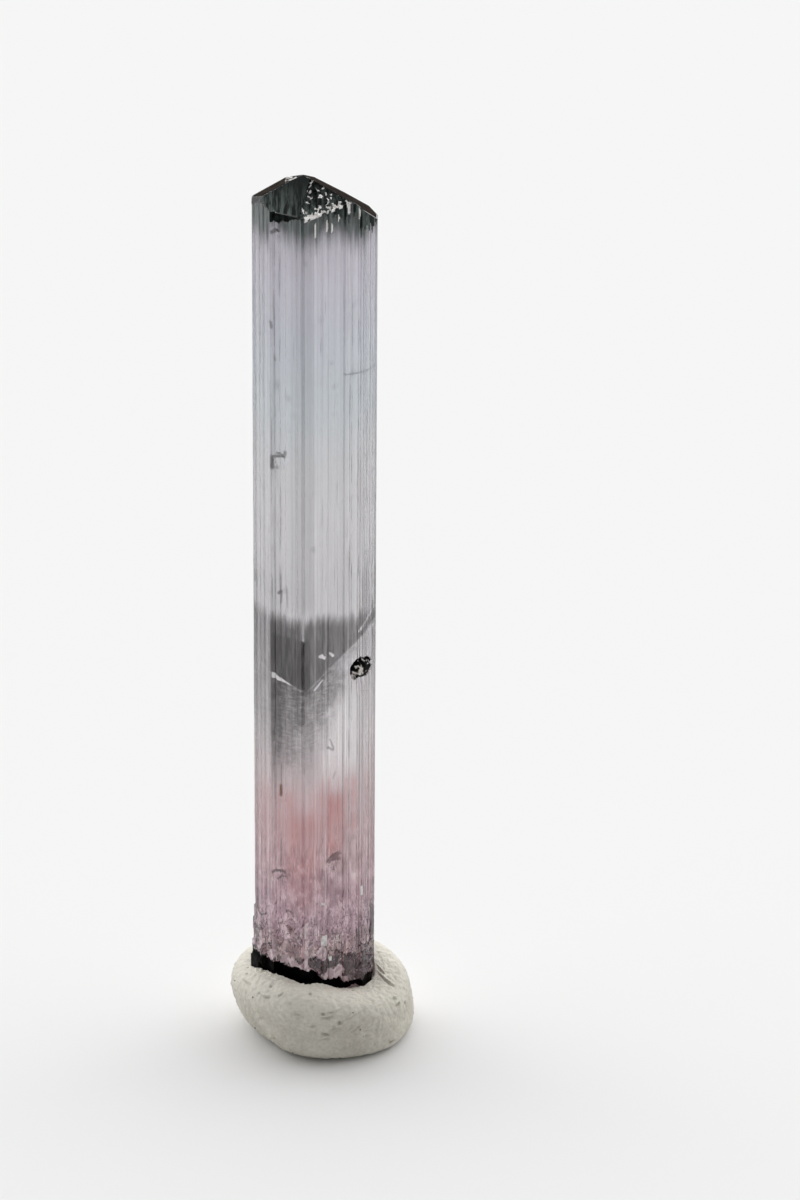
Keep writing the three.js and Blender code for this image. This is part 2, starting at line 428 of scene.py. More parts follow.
class GeometryRule:
    """A Geometry Nodes tree with named inputs, run once on an object and left as a plain mesh."""

    def __init__(self, name: str, numbers: Sequence[str], patches: Sequence[str] = ()) -> None:
        """Start a tree.

        Args:
            name: The tree's name.
            numbers: Names of its number inputs.
            patches: Names of marks on the mesh, each the input for the material used where that mark is set.
        """
        self.tree = bpy.data.node_groups.new(name, "GeometryNodeTree")
        face = self.tree.interface
        face.new_socket(name="Geometry", in_out="INPUT", socket_type="NodeSocketGeometry")
        for number in numbers:
            face.new_socket(name=number, in_out="INPUT", socket_type="NodeSocketFloat")
        for finish in ("Finish", *patches):
            face.new_socket(name=finish, in_out="INPUT", socket_type="NodeSocketMaterial")
        self.patches = patches
        face.new_socket(name="Geometry", in_out="OUTPUT", socket_type="NodeSocketGeometry")
        self.graph = Graph(self.tree)
        self.inputs = self.graph.add("NodeGroupInput").outputs
        self.end = self.graph.add("NodeGroupOutput").inputs[0]

    def attribute(self, name: str, kind: str = "FLOAT") -> Socket:
        """Read a named attribute of the mesh.

        Args:
            name: The attribute's name.
            kind: The type of its values.

        Returns:
            Its values.
        """
        node = self.graph.add("GeometryNodeInputNamedAttribute", data_type=kind)
        node.inputs["Name"].default_value = name
        return node.outputs["Attribute"]

    def keep(self, geometry: Socket, name: str, value: Socket) -> Socket:
        """Store a value on every point of the mesh under a name, and give the mesh.

        Args:
            geometry: The mesh.
            name: The name to store under.
            value: What is stored.

        Returns:
            The mesh with the value.
        """
        node = self.graph.add("GeometryNodeStoreNamedAttribute", data_type="FLOAT", domain="POINT")
        self.graph.feed(node.inputs["Geometry"], geometry)
        node.inputs["Name"].default_value = name
        self.graph.feed(node.inputs["Value"], value)
        return node.outputs[0]

    def close(self, geometry: Socket) -> None:
        """End the tree in real meshes with the finish on them.

        Args:
            geometry: The finished shape.
        """
        real = self.graph.add("GeometryNodeRealizeInstances")
        self.graph.feed(real.inputs[0], geometry)
        result = real.outputs[0]
        for finish in ("Finish", *self.patches):
            dressed = self.graph.add("GeometryNodeSetMaterial")
            self.graph.feed(dressed.inputs["Geometry"], result)
            self.graph.feed(dressed.inputs["Material"], self.inputs[finish])
            if finish in self.patches:
                marked = self.graph.math("GREATER_THAN", self.attribute(finish), 0.5)
                self.graph.feed(dressed.inputs["Selection"], marked)
            result = dressed.outputs[0]
        self.graph.feed(self.end, result)

    def run(self, piece: Object, values: dict[str, object]) -> None:
        """Replace a piece's mesh by what the tree makes of it.

        Args:
            piece: The object to change.
            values: The tree's inputs by name.
        """
        modifier = piece.modifiers.new(self.tree.name, "NODES")
        modifier.node_group = self.tree
        for socket in self.tree.interface.items_tree:
            if socket.in_out == "INPUT" and socket.name in values:
                modifier[socket.identifier] = values[socket.name]
        depsgraph = bpy.context.evaluated_depsgraph_get()
        made = bpy.data.meshes.new_from_object(
            piece.evaluated_get(depsgraph), preserve_all_data_layers=True, depsgraph=depsgraph
        )
        made.name = piece.name
        piece.modifiers.clear()
        piece.data = made


@dataclass
class RingSurface:
    """A closed surface of rings of points, from a bottom pole up to a top pole."""

    bottom: Array
    top: Array
    rings: list[Array] = field(default_factory=list)

    def piece(self, name: str, smooth: bool) -> Object:
        """Make the surface an object.

        Args:
            name: The object's name.
            smooth: Whether its faces are shaded as one curved surface.

        Returns:
            The object, at the origin, in metres.
        """
        columns = len(self.rings[0])
        points = np.vstack([*self.rings, self.bottom[None], self.top[None]]) * MM
        here = np.arange(columns)
        after = np.roll(here, -1)
        square = np.stack([here, after, after + columns, here + columns], 1)
        quads = [square + r * columns for r in range(len(self.rings) - 1)]
        last = (len(self.rings) - 1) * columns
        low, high = len(points) - 2, len(points) - 1
        faces = [tuple(q) for q in np.vstack(quads).tolist()]
        faces += [(low, int(b), int(a)) for a, b in zip(here, after, strict=True)]
        faces += [(high, int(last + a), int(last + b)) for a, b in zip(here, after, strict=True)]
        mesh = bpy.data.meshes.new(name)
        mesh.from_pydata(points.tolist(), [], faces)
        mesh.polygons.foreach_set("use_smooth", np.full(len(faces), smooth))
        mesh.update()
        piece = bpy.data.objects.new(name, mesh)
        bpy.context.scene.collection.objects.link(piece)
        return piece

    def mark(self, piece: Object, name: str, rings: Sequence[Array]) -> None:
        """Store one number or vector for every point of the rings, and nothing at the poles.

        Args:
            piece: The object made of the rings.
            name: The mark's name.
            rings: One row of values for each ring.
        """
        flat = np.concatenate([np.asarray(r, dtype=np.float32) for r in rings])
        vector = flat.ndim == 2
        kind = "FLOAT_VECTOR" if vector else "FLOAT"
        padded = np.concatenate([flat, np.zeros((2, *flat.shape[1:]), np.float32)])
        layer = piece.data.attributes.new(name, kind, "POINT")
        layer.data.foreach_set("vector" if vector else "value", padded.ravel())


@dataclass(frozen=True)
class Groove:
    """A line along the crystal at a share of its face's width, in millimetres; ink below 0 makes it a light
    line, a painted highlight.
    """

    side: Side
    share: float
    width: float
    depth: float
    ink: float


@dataclass(frozen=True)
class Bite:
    """A chip out of a face, at a distance along it from the foot of its normal, in millimetres."""

    side: Side
    along: float
    level: float
    radius: float
    depth: float


@dataclass(frozen=True)
class FlakeRun:
    """Flakes at the foot of the crystal, each lower one standing further out, in millimetres."""

    azimuth: float
    count: int
    step_out: float
    top: float
    step_down: float
    width: float


@dataclass
class Crystal:
    """The striated crystal, grown as one piece, with sizes in millimetres."""

    node: str = "crystal"
    slot: str = "tourmaline"
    column_step: float = 0.058
    cap_rings: int = 42
    apex: Run = (-0.35, 0.0)
    base_rings: int = 18
    base_rough: float = 0.25
    base_pace: float = 1.7
    base_middle: float = 0.3
    plain_low: float = 15.0
    plain_high: float = 50.0
    top_blend: float = 52.5
    base_blend: float = 5.6
    pit: Bite = Bite(Side.RIGHT_FRONT, 1.74, 25.55, 0.74, 0.38)
    pit_squeeze: float = 0.62
    pit_least: float = 0.004
    grain_radius: float = 0.53
    grain_rise: float = 0.2
    grain_facets: int = 9
    grain_steep: Run = (1.0, 1.2)
    grain_uneven: Run = (0.8, 0.3)
    bite_tall: float = 1.7
    bite_top: float = 1.8
    bite_round: float = 1.4
    bite_flat: float = 1.6
    crowd_count: int = 60
    crowd_gather: float = 1.8
    crowd_radius: Run = (0.12, 0.33)
    crowd_depth: Run = (0.15, 0.25)
    crowd_low: float = 4.6
    crowd_high: float = 9.0
    strip_width: float = 0.3
    strip_step: float = 0.06
    line_width: float = 0.09
    line_depth: float = 0.06
    wander: float = 0.12
    corner_ink: float = 0.45
    corner_width: float = 0.1
    dull_facets: tuple[CapFacet, ...] = (CapFacet.LEFT, CapFacet.RIGHT, CapFacet.BACK, CapFacet.RIGHT_BEVEL)
    dark_facets: tuple[CapFacet, ...] = (CapFacet.ROUGH_FRONT, CapFacet.SMOOTH_FRONT)
    dark_sides: tuple[Side, ...] = (Side.RIGHT_FRONT, Side.RIGHT_RIB)
    dark_reach: tuple[Run, ...] = (
        (-2.7, 0.62), (-1.6, 0.42), (-0.9, 0.1), (-0.4, 0.05), (0.6, 0.2), (1.6, 0.7), (2.6, 1.0),
        (3.2, 0.75), (3.7, 0.5),
    )
    dark_noise: tuple[Run, ...] = ((1.0, 9.0), (0.8, 16.0))
    dark_streak: float = 0.7
    ink_streak: float = 0.2
    hillock_height: float = 0.18
    hillock_size: float = 0.14
    spark_share: float = 0.2
    edge_spark: float = 0.95
    edge_spark_right: float = 0.6
    edge_fade: Run = (2.0, 0.2)
    rim_spark: float = 0.7
    edge_rows: int = 7
    edge_drop: float = 0.16
    # a patch of painted glints on the left facet near the ridge: from, to across, and share
    glint_patch: tuple[float, float, float] = (-1.75, -1.05, 0.55)
    light_streaks: tuple[tuple[float, float, float, float], ...] = (
        (0.12, 54.2, 55.2, 0.18), (0.78, 54.45, 55.25, 0.19), (1.06, 54.35, 55.0, 0.15),
        (1.45, 54.9, 55.5, 0.14), (2.04, 55.2, 56.1, 0.18), (2.66, 54.8, 55.6, 0.14),
        (0.55, 9.8, 10.2, 0.24), (0.7, 7.0, 7.9, 0.42), (1.03, 5.9, 6.35, 0.24),
        (2.93, 9.8, 10.7, 0.2),
    )
    splinter_width: float = 0.5
    splinter_depth: float = 0.1
    crumb_share: float = 0.36
    frayed_from: float = 10.5
    frayed_to: float = 6.0
    break_depth: float = 0.6
    break_behind: float = 0.05
    break_edge: float = 0.12
    break_ragged: tuple[Run, ...] = ((0.22, 1.9), (0.14, 6.5))
    break_line: tuple[Run, ...] = (
        (-150.0, 2.4), (-105.0, 5.6), (-50.0, 5.85), (-8.0, 5.75), (14.0, 4.95), (44.0, 4.2),
        (84.0, 4.2), (150.0, 2.4),
    )
    grooves: tuple[Groove, ...] = (
        Groove(Side.LEFT_FRONT, 0.1, 0.26, 0.15, 0.55),
        Groove(Side.LEFT_FRONT, 0.92, 0.2, 0.15, 0.45),
        Groove(Side.RIGHT_FRONT, 0.31, 0.16, 0.08, 0.2),
        Groove(Side.RIGHT_FRONT, 0.41, 0.14, 0.1, 0.4),
        Groove(Side.RIGHT_FRONT, 0.67, 0.16, 0.12, 0.4),
        Groove(Side.RIGHT_FRONT, 0.95, 0.2, 0.12, 0.5),
        Groove(Side.LEFT_RIB, 0.6, 0.18, 0.1, 0.55),
        Groove(Side.LEFT_RIB, 0.78, 0.14, 0.0, -0.8),
        Groove(Side.LEFT_RIB, 0.3, 0.2, 0.0, -0.5),
        Groove(Side.RIGHT_FRONT, 0.18, 0.2, 0.0, -0.6),
        Groove(Side.RIGHT_FRONT, 0.36, 0.14, 0.0, -0.8),
        Groove(Side.RIGHT_FRONT, 0.74, 0.14, 0.0, -0.7),
        Groove(Side.RIGHT_FRONT, 0.86, 0.16, 0.0, -0.5),
        Groove(Side.RIGHT_RIB, 0.4, 0.16, 0.0, -0.8),
        Groove(Side.RIGHT_RIB, 0.75, 0.16, 0.0, -0.7),
    )
    bites: tuple[Bite, ...] = (
        Bite(Side.LEFT_FRONT, -0.6, 39.9, 0.55, 0.14),
        Bite(Side.LEFT_FRONT, -0.3, 12.0, 0.55, 0.14),
        Bite(Side.RIGHT_FRONT, -0.1, 13.0, 0.5, 0.15),
        Bite(Side.LEFT_FRONT, -0.75, 54.35, 0.3, 0.1),
    )
    flake_pace: Run = (2.1, 1.3)
    flake_top_ragged: float = 0.35
    flake_side_ragged: float = 0.2
    flake_narrowing: float = 0.1
    flakes: tuple[FlakeRun, ...] = (
        FlakeRun(-80.0, 4, 0.085, 8.6, 1.1, 1.9),
        FlakeRun(74.0, 2, 0.07, 6.4, 0.7, 1.4),
        FlakeRun(195.0, 3, 0.05, 6.4, 0.7, 2.1),
    )
    level_steps: tuple[Run, ...] = (
        (9.0, 0.11), (10.6, 0.16), (11.5, 0.45), (14.0, 0.12), (24.9, 1.2), (26.6, 0.08),
        (39.2, 1.4), (40.6, 0.11), (52.5, 1.3), (54.2, 0.3),
    )
    last_step: float = 0.1

    def __post_init__(self) -> None:
        """Read the crystal's own sizes off the frame."""
        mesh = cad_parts[self.node].data
        points = np.zeros(len(mesh.vertices) * 3)
        normals = np.zeros(len(mesh.polygons) * 3)
        centres = np.zeros(len(mesh.polygons) * 3)
        mesh.vertices.foreach_get("co", points)
        mesh.polygons.foreach_get("normal", normals)
        mesh.polygons.foreach_get("center", centres)
        self.points = points.reshape(-1, 3) / MM
        self.normals, self.centres = normals.reshape(-1, 3), centres.reshape(-1, 3) / MM
        low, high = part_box(self.node)
        self.low, self.high = np.array(low) / MM, np.array(high) / MM
        self.sides = list(Side)
        level = self.points[:, 2]
        plain = self.points[(level < self.plain_low) | (level > self.plain_high)]
        plain = plain[plain[:, 2] > self.crowd_high]
        self.reach = {side: float((plain[:, :2] @ outward(side.value)).max()) for side in self.sides}
        self.corners = [self.corner(self.sides[i - 1], side) for i, side in enumerate(self.sides)]
        self.facets = [self.plane(facet) for facet in CapFacet]
        self.draw_columns()

    def corner(self, a: Side, b: Side) -> Array:
        """Give the point of the plan where two prism faces meet."""
        return np.linalg.solve(np.stack([outward(a.value), outward(b.value)]), [self.reach[a], self.reach[b]])

    def plane(self, facet: CapFacet) -> tuple[Array, float]:
        """Give a cap facet's normal and how far out the frame's own facet lies along it.

        Args:
            facet: The cap facet.

        Returns:
            The normal and the distance along it.
        """
        azimuth, dip = facet.value
        level = outward(azimuth) * math.sin(math.radians(dip))
        normal = np.array([level[0], level[1], math.cos(math.radians(dip))])
        same = self.normals @ normal > 0.99999
        return normal, float(np.median(self.centres[same] @ normal))

    def cap_height(self, plan: Array) -> Array:
        """Give the height of the cap over points of the plan."""
        heights = [(reach - plan @ normal[:2]) / normal[2] for normal, reach in self.facets]
        return np.minimum.reduce(heights)

    def base_height(self, plan: Array) -> Array:
        """Give the height of the uneven base over points of the plan."""
        return self.low[2] + self.base_rough + self.base_rough * value_noise(plan * self.base_pace, Seed.BASE)

    def draw_columns(self) -> None:
        """Place the columns of points round the prism, with the distance round it and the way out at each."""
        plan, out, around, face, along = [], [], [], [], []
        travelled = 0.0
        for i, side in enumerate(self.sides):
            start, end = self.corners[i], self.corners[(i + 1) % len(self.corners)]
            length = float(np.linalg.norm(end - start))
            count = max(4, round(length / self.column_step))
            share = np.arange(count) / count
            spots = start + share[:, None] * (end - start)
            tangent = (end - start) / length
            plan.append(spots)
            out.append(np.tile(outward(side.value), (count, 1)))
            around.append(travelled + share * length)
            face.append(np.full(count, i))
            along.append(spots @ tangent)
            travelled += length
        self.plan, self.out = np.vstack(plan), np.vstack(out)
        self.around, self.face, self.along = map(np.concatenate, (around, face, along))

    def grooved(self, groove: Groove) -> Array:
        """Give a groove's profile at each column: 1 at its bottom and 0 outside it.

        Args:
            groove: The groove.

        Returns:
            One value for each column.
        """
        i = self.sides.index(groove.side)
        start, end = self.corners[i], self.corners[(i + 1) % len(self.corners)]
        length = float(np.linalg.norm(end - start))
        middle = float(start @ ((end - start) / length)) + groove.share * length
        away = np.abs(self.along - middle) / (groove.width / 2)
        return np.where(self.face == i, np.clip(1 - away, 0, 1), 0.0)

    def groove_depth(self) -> Array:
        """Give how deep the main grooves are at each column."""
        return np.maximum.reduce([groove.depth * self.grooved(groove) for groove in self.grooves])

    def gleam(self) -> Array:
        """Give how bright the light lines, painted highlights, are at each column."""
        light = [groove for groove in self.grooves if groove.ink < 0]
        return np.maximum.reduce([-groove.ink * self.grooved(groove) for groove in light])

    def ink(self) -> Array:
        """Give how dark the main grooves and the prism's edges are at each column.

        Returns:
            One value for each column.
        """
        inked = [groove for groove in self.grooves if groove.ink > 0]
        dark = np.maximum.reduce([groove.ink * self.grooved(groove) for groove in inked])
        for corner in self.corners:
            away = np.linalg.norm(self.plan - corner, axis=1) / self.corner_width
            dark = np.maximum(dark, self.corner_ink * np.clip(1 - away, 0, 1))
        return dark

    def bite_depth(self, bite: Bite, levels: Array) -> Array:
        """Give how deep an angular chip is at each column of each level.

        Args:
            bite: The chip.
            levels: Heights, by level and by column.

        Returns:
            Depths in the same shape.
        """
        i = self.sides.index(bite.side)
        across = np.abs(self.along - bite.along)[None, :] / bite.radius
        upward = (levels - bite.level) / (bite.radius * self.bite_tall)
        upward = np.where(upward > 0, upward * self.bite_top, -upward)
        away = across**self.bite_round + upward**self.bite_round
        depth = bite.depth * np.clip(1.0 - away, 0, 1) * self.bite_flat
        return np.where((self.face == i)[None, :], np.minimum(depth, bite.depth), 0.0)

    def broken(self, levels: Array) -> Array:
        """Give where the base is broken back, from 0 above the ragged line to 1 below it.

        Args:
            levels: Heights, by level and by column.

        Returns:
            Values in the same shape.
        """
        azimuth = np.degrees(np.arctan2(self.plan[:, 0], -self.plan[:, 1]))
        line = np.interp(azimuth, *np.transpose(self.break_line), period=360.0)
        for i, (depth, pace) in enumerate(self.break_ragged):
            line = line + depth * value_noise(self.plan * pace, Seed.BREAK + i)
        return np.clip((line[None] - levels) / self.break_edge, 0.0, 1.0)

    def crowd(self) -> list[Bite]:
        """Scatter small chips above the broken base, more of them lower down.

        Returns:
            The chips.
        """
        random = np.random.default_rng(Seed.CHIPS)
        least, more = self.crowd_radius
        shallow, deeper = self.crowd_depth
        made = []
        for _ in range(self.crowd_count):
            column = random.integers(len(self.plan))
            level = self.crowd_low + (self.crowd_high - self.crowd_low) * random.random() ** self.crowd_gather
            radius = least + more * random.random() ** 2
            depth = radius * (shallow + deeper * random.random())
            made.append(Bite(self.sides[self.face[column]], float(self.along[column]), level, radius, depth))
        return made

    def flake_rise(self, levels: Array) -> Array:
        """Give how far the stepped flakes stand out at each column of each level.

        Args:
            levels: Heights, by level and by column.

        Returns:
            Values in the same shape.
        """
        rise = np.zeros_like(levels)
        azimuth = np.degrees(np.arctan2(self.plan[:, 0], -self.plan[:, 1]))
        radius = np.linalg.norm(self.plan, axis=1)
        for run in self.flakes:
            turn = (azimuth - run.azimuth + 180.0) % 360.0 - 180.0
            across = np.radians(turn) * radius
            for i in range(run.count):
                spread = np.repeat(across[None], len(levels), 0)
                spots = np.stack([spread.ravel(), levels.ravel()], 1) * self.flake_pace
                ragged = value_noise(spots, Seed.FLAKES + i).reshape(levels.shape)
                top = run.top - run.step_down * i + self.flake_top_ragged * ragged
                half = run.width * (1 - self.flake_narrowing * i) / 2 + self.flake_side_ragged * ragged
                rise += run.step_out * ((levels < top) & (np.abs(across)[None] < half))
        return rise

    def pit_relief(self, levels: Array) -> Array:
        """Give the depth of the round pit, less the angular grain that fills most of it.

        Args:
            levels: Heights, by level and by column.

        Returns:
            Values in the same shape.
        """
        on_face = np.where(self.face == self.sides.index(self.pit.side), self.along, np.inf)
        across = self.around - self.around[np.abs(on_face - self.pit.along).argmin()]
        across = np.repeat(np.where(across > 0, across * self.pit_squeeze, across)[None], len(levels), 0)
        upward = levels - self.pit.level
        away = np.hypot(across, upward)
        hollow = self.pit.depth * np.sqrt(np.clip(1 - (away / self.pit.radius) ** 2, 0, 1))
        random = np.random.default_rng(Seed.PIT_GRAIN)
        lump = np.full_like(levels, self.grain_rise)
        for turn in np.arange(self.grain_facets) * 2 * math.pi / self.grain_facets:
            steep = self.grain_steep[0] + self.grain_steep[1] * random.random()
            reach = self.grain_radius * (self.grain_uneven[0] + self.grain_uneven[1] * random.random())
            facing = across * math.cos(turn) + upward * math.sin(turn)
            lump = np.minimum(lump, (reach - facing) * steep)
        grain = np.where(away < self.pit.radius, np.maximum(lump, -self.pit.depth), -np.inf)
        return np.where(hollow > 0, np.minimum(hollow, -grain), 0.0)

    def levels(self) -> Array:
        """Give the heights of the rows: close together where there is detail.

        Returns:
            The heights from the base upwards.
        """
        heights = [self.low[2]]
        for end, step in (*self.level_steps, (self.high[2], self.last_step)):
            count = max(1, round((end - heights[-1]) / step))
            heights += list(np.linspace(heights[-1], end, count + 1)[1:])
        return np.array(heights)

    def surface(self) -> tuple[RingSurface, Marks]:
        """Work out every point of the crystal before its fine ribs.

        Returns:
            The surface, and for each named mark one row of values for each ring.
        """
        heights = self.levels()
        roof = self.cap_height(self.plan)
        floor = self.base_height(self.plan)
        rows = np.repeat(heights[:, None], len(self.plan), 1)
        stretch = (roof - self.top_blend) / (heights[-1] - self.top_blend)
        upper = self.top_blend + (rows - self.top_blend) * stretch
        lower = floor + (rows - heights[0]) * (self.base_blend - floor) / (self.base_blend - heights[0])
        rows = np.where(rows > self.top_blend, upper, np.where(rows < self.base_blend, lower, rows))
        cut = np.repeat(self.groove_depth()[None], len(rows), 0)
        for bite in (*self.bites, *self.crowd()):
            cut = np.maximum(cut, self.bite_depth(bite, rows))
        hollow = self.pit_relief(rows)
        gone = self.broken(rows)
        faced = np.isin(self.face, [self.sides.index(side) for side in (Side.LEFT_FRONT, Side.RIGHT_FRONT)])
        cut = cut + hollow - self.flake_rise(rows)
        cut = cut + np.where(faced, self.break_depth, self.break_behind) * gone
        spots = self.plan[None] - cut[..., None] * self.out[None]
        sides = [np.column_stack([spot, level]) for spot, level in zip(spots, rows, strict=True)]
        apex = np.array(self.apex)
        shares = np.linspace(1, 0, self.cap_rings + 1)[1:-1]
        cap = []
        for share in shares:
            spot = apex + (spots[-1] - apex) * share
            cap.append(np.column_stack([spot, self.cap_height(spot)]))
        base = []
        for share in np.linspace(0, 1, self.base_rings + 1)[1:-1]:
            spot = spots[0] * share
            level = self.base_height(spot)
            rim = smooth_step(np.full(len(spot), share), 0.8, 1)
            base.append(np.column_stack([spot, level + (rows[0] - level) * rim]))
        top = np.array([*apex, float(self.cap_height(apex[None])[0])])
        bottom = np.array([0.0, 0.0, self.low[2] + self.base_middle])
        surface = RingSurface(bottom, top, [*base, *sides, *cap])
        none = np.zeros(len(self.plan))
        # black patch: the real black grain in the pit, and painted shade on the broken base, where the gap
        # under the crystal lies in shadow
        black = (np.abs(hollow) > self.pit_least).astype(float) + (gone > 0.5)
        marks = self.marks(len(base), rows, cap)
        marks[Patch.BLACK.value] = [none] * len(base) + [*black] + [none] * len(cap)
        return surface, marks

    def lowest_facet(self, plan: Array) -> Array:
        """Give which cap facet lies over each point of the plan, by its number."""
        return np.stack([(reach - plan @ normal[:2]) / normal[2] for normal, reach in self.facets]).argmin(0)

    def marks(self, base: int, rows: Array, cap: list[Array]) -> Marks:
        """Say where each finish and each rule of growth applies.

        Args:
            base: The number of rings under the base.
            rows: The heights of the rings of the sides.
            cap: The rings of the cap.

        Returns:
            For each named mark one row of values for each ring.
        """
        columns, sides = len(self.plan), len(rows)
        none, every = np.zeros(columns), base + sides + len(cap)
        below, no_sides, no_cap = [none] * base, [none] * sides, [none] * len(cap)
        facets = [self.lowest_facet(ring[:, :2]) for ring in cap]
        ink_edge = self.darkened(rows, [Side.LEFT_FRONT], self.ink_streak)
        return {
            "around": [self.around] * every,
            "side": below + [np.ones(columns)] * (sides - 1) + [none] + no_cap,
            "rough_cap": below + no_sides + [self.among(facet, [CapFacet.ROUGH_FRONT]) for facet in facets],
            Patch.DULL.value: below + no_sides + [self.among(facet, self.dull_facets) for facet in facets],
            Patch.DARK.value: below
            + [*self.darkened(rows, self.dark_sides, self.dark_streak)]
            + [self.among(facet, self.dark_facets) for facet in facets],
            Patch.INK.value: [*below, *ink_edge, *no_cap],
            "bright": [*below, *self.streaked(rows), *self.sparkling(cap, facets)],
            "frayed": [*below, *smooth_step(rows, self.frayed_from, self.frayed_to), *no_cap],
            "ink": [self.ink()] * (base + sides) + no_cap,
            "gleam": [self.gleam()] * (base + sides) + no_cap,
            "out": [np.column_stack([self.out, none])] * every,
        }

    def among(self, facets: Array, chosen: Sequence[CapFacet]) -> Array:
        """Give 1 where a facet's number is one of the chosen facets, and 0 elsewhere."""
        return np.isin(facets, [facet_number(facet) for facet in chosen]) * 1.0

    def darkened(self, rows: Array, chosen: Sequence[Side], uneven: float) -> Array:
        """Say which points of the chosen sides are black from the cap down, in streaks of uneven length.

        Args:
            rows: The heights of the rings of the sides.
            chosen: The sides that are black.
            uneven: How uneven the streaks are, as a share of their length.

        Returns:
            Values in the same shape.
        """
        sides = np.isin(self.face, [self.sides.index(side) for side in chosen])
        reach = np.interp(self.plan[:, 0], *np.transpose(self.dark_reach))
        level = np.zeros(len(self.plan))
        streak = level
        for i, (share, pace) in enumerate(self.dark_noise):
            spots = np.column_stack([self.around * pace, level])
            streak = streak + share * value_noise(spots, Seed.STREAKS + i)
        reach = reach * (1.0 + uneven * streak)
        return (sides[None] & (rows > self.cap_height(self.plan)[None] - reach[None])) * 1.0

    def streaked(self, rows: Array) -> Array:
        """Say which points of the front are white streaks under the cap.

        Args:
            rows: The heights of the rings of the sides.

        Returns:
            Values in the same shape.
        """
        near = np.zeros_like(rows)
        for across, low, high, width in self.light_streaks:
            beside = np.where(self.plan[:, 1] < 0, (self.plan[:, 0] - across) / (width / 2), np.inf)
            upward = (rows - (low + high) / 2) / ((high - low) / 2)
            near = np.maximum(near, beside[None] ** 2 + upward**2 < 1.0)
        rough = self.lowest_facet(self.plan) == facet_number(CapFacet.ROUGH_FRONT)
        rim = rough & (self.face == self.sides.index(Side.RIGHT_FRONT))
        under = self.cap_height(self.plan)[None] - rows
        return np.maximum(near, self.rim_spark * (rim[None] & (under < self.edge_drop)))

    def sparkling(self, cap: list[Array], facets: list[Array]) -> list[Array]:
        """Give the share of painted glints, white cells, at each point of the cap: most along the rough
        facet's lower edge, which is also frosted.

        Args:
            cap: The rings of the cap.
            facets: The number of the facet at each point of them.

        Returns:
            One row of shares for each ring.
        """
        low, high, share = self.glint_patch
        left, rough = facet_number(CapFacet.LEFT), facet_number(CapFacet.ROUGH_FRONT)
        edge = (facets[0] == rough) & (self.face == self.sides.index(Side.RIGHT_FRONT))
        right = self.edge_spark_right
        edge = edge * self.edge_spark * (right + (1 - right) * smooth_step(self.plan[:, 0], *self.edge_fade))
        bright = []
        for i, (ring, facet) in enumerate(zip(cap, facets, strict=True)):
            sparks = np.where(facet == rough, self.spark_share, 0.0)
            glinting = (facet == left) & (ring[:, 0] > low) & (ring[:, 0] < high)
            rim = edge * max(0.0, 1.0 - (i / self.edge_rows) ** 2)
            bright.append(np.maximum(np.where(glinting, share, sparks), rim))
        return bright

    def build(self, finish: Material, patches: dict[Patch, Material]) -> Object:
        """Make the crystal's piece.

        Args:
            finish: The material it wears.
            patches: The materials of its opaque places.

        Returns:
            The piece, which stands for the frame's plain solid.
        """
        surface, marks = self.surface()
        piece = surface.piece("tourmaline_crystal", smooth=False)
        for name, rings in marks.items():
            surface.mark(piece, name, rings)
        growth_ribs().run(
            piece,
            {
                "Strip Width": self.strip_width,
                "Strip Step": self.strip_step * MM,
                "Line Width": self.line_width,
                "Line Depth": self.line_depth * MM,
                "Wander": self.wander,
                "Hillock Height": self.hillock_height * MM,
                "Hillock Size": self.hillock_size * MM,
                "Splinter Width": self.splinter_width,
                "Splinter Depth": self.splinter_depth * MM,
                "Crumb Share": self.crumb_share,
                "Seed": 4.0,
                "Finish": finish,
                **{patch.value: material for patch, material in patches.items()},
            },
        )
        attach(piece, BODY)
        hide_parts(self.node)
        return piece


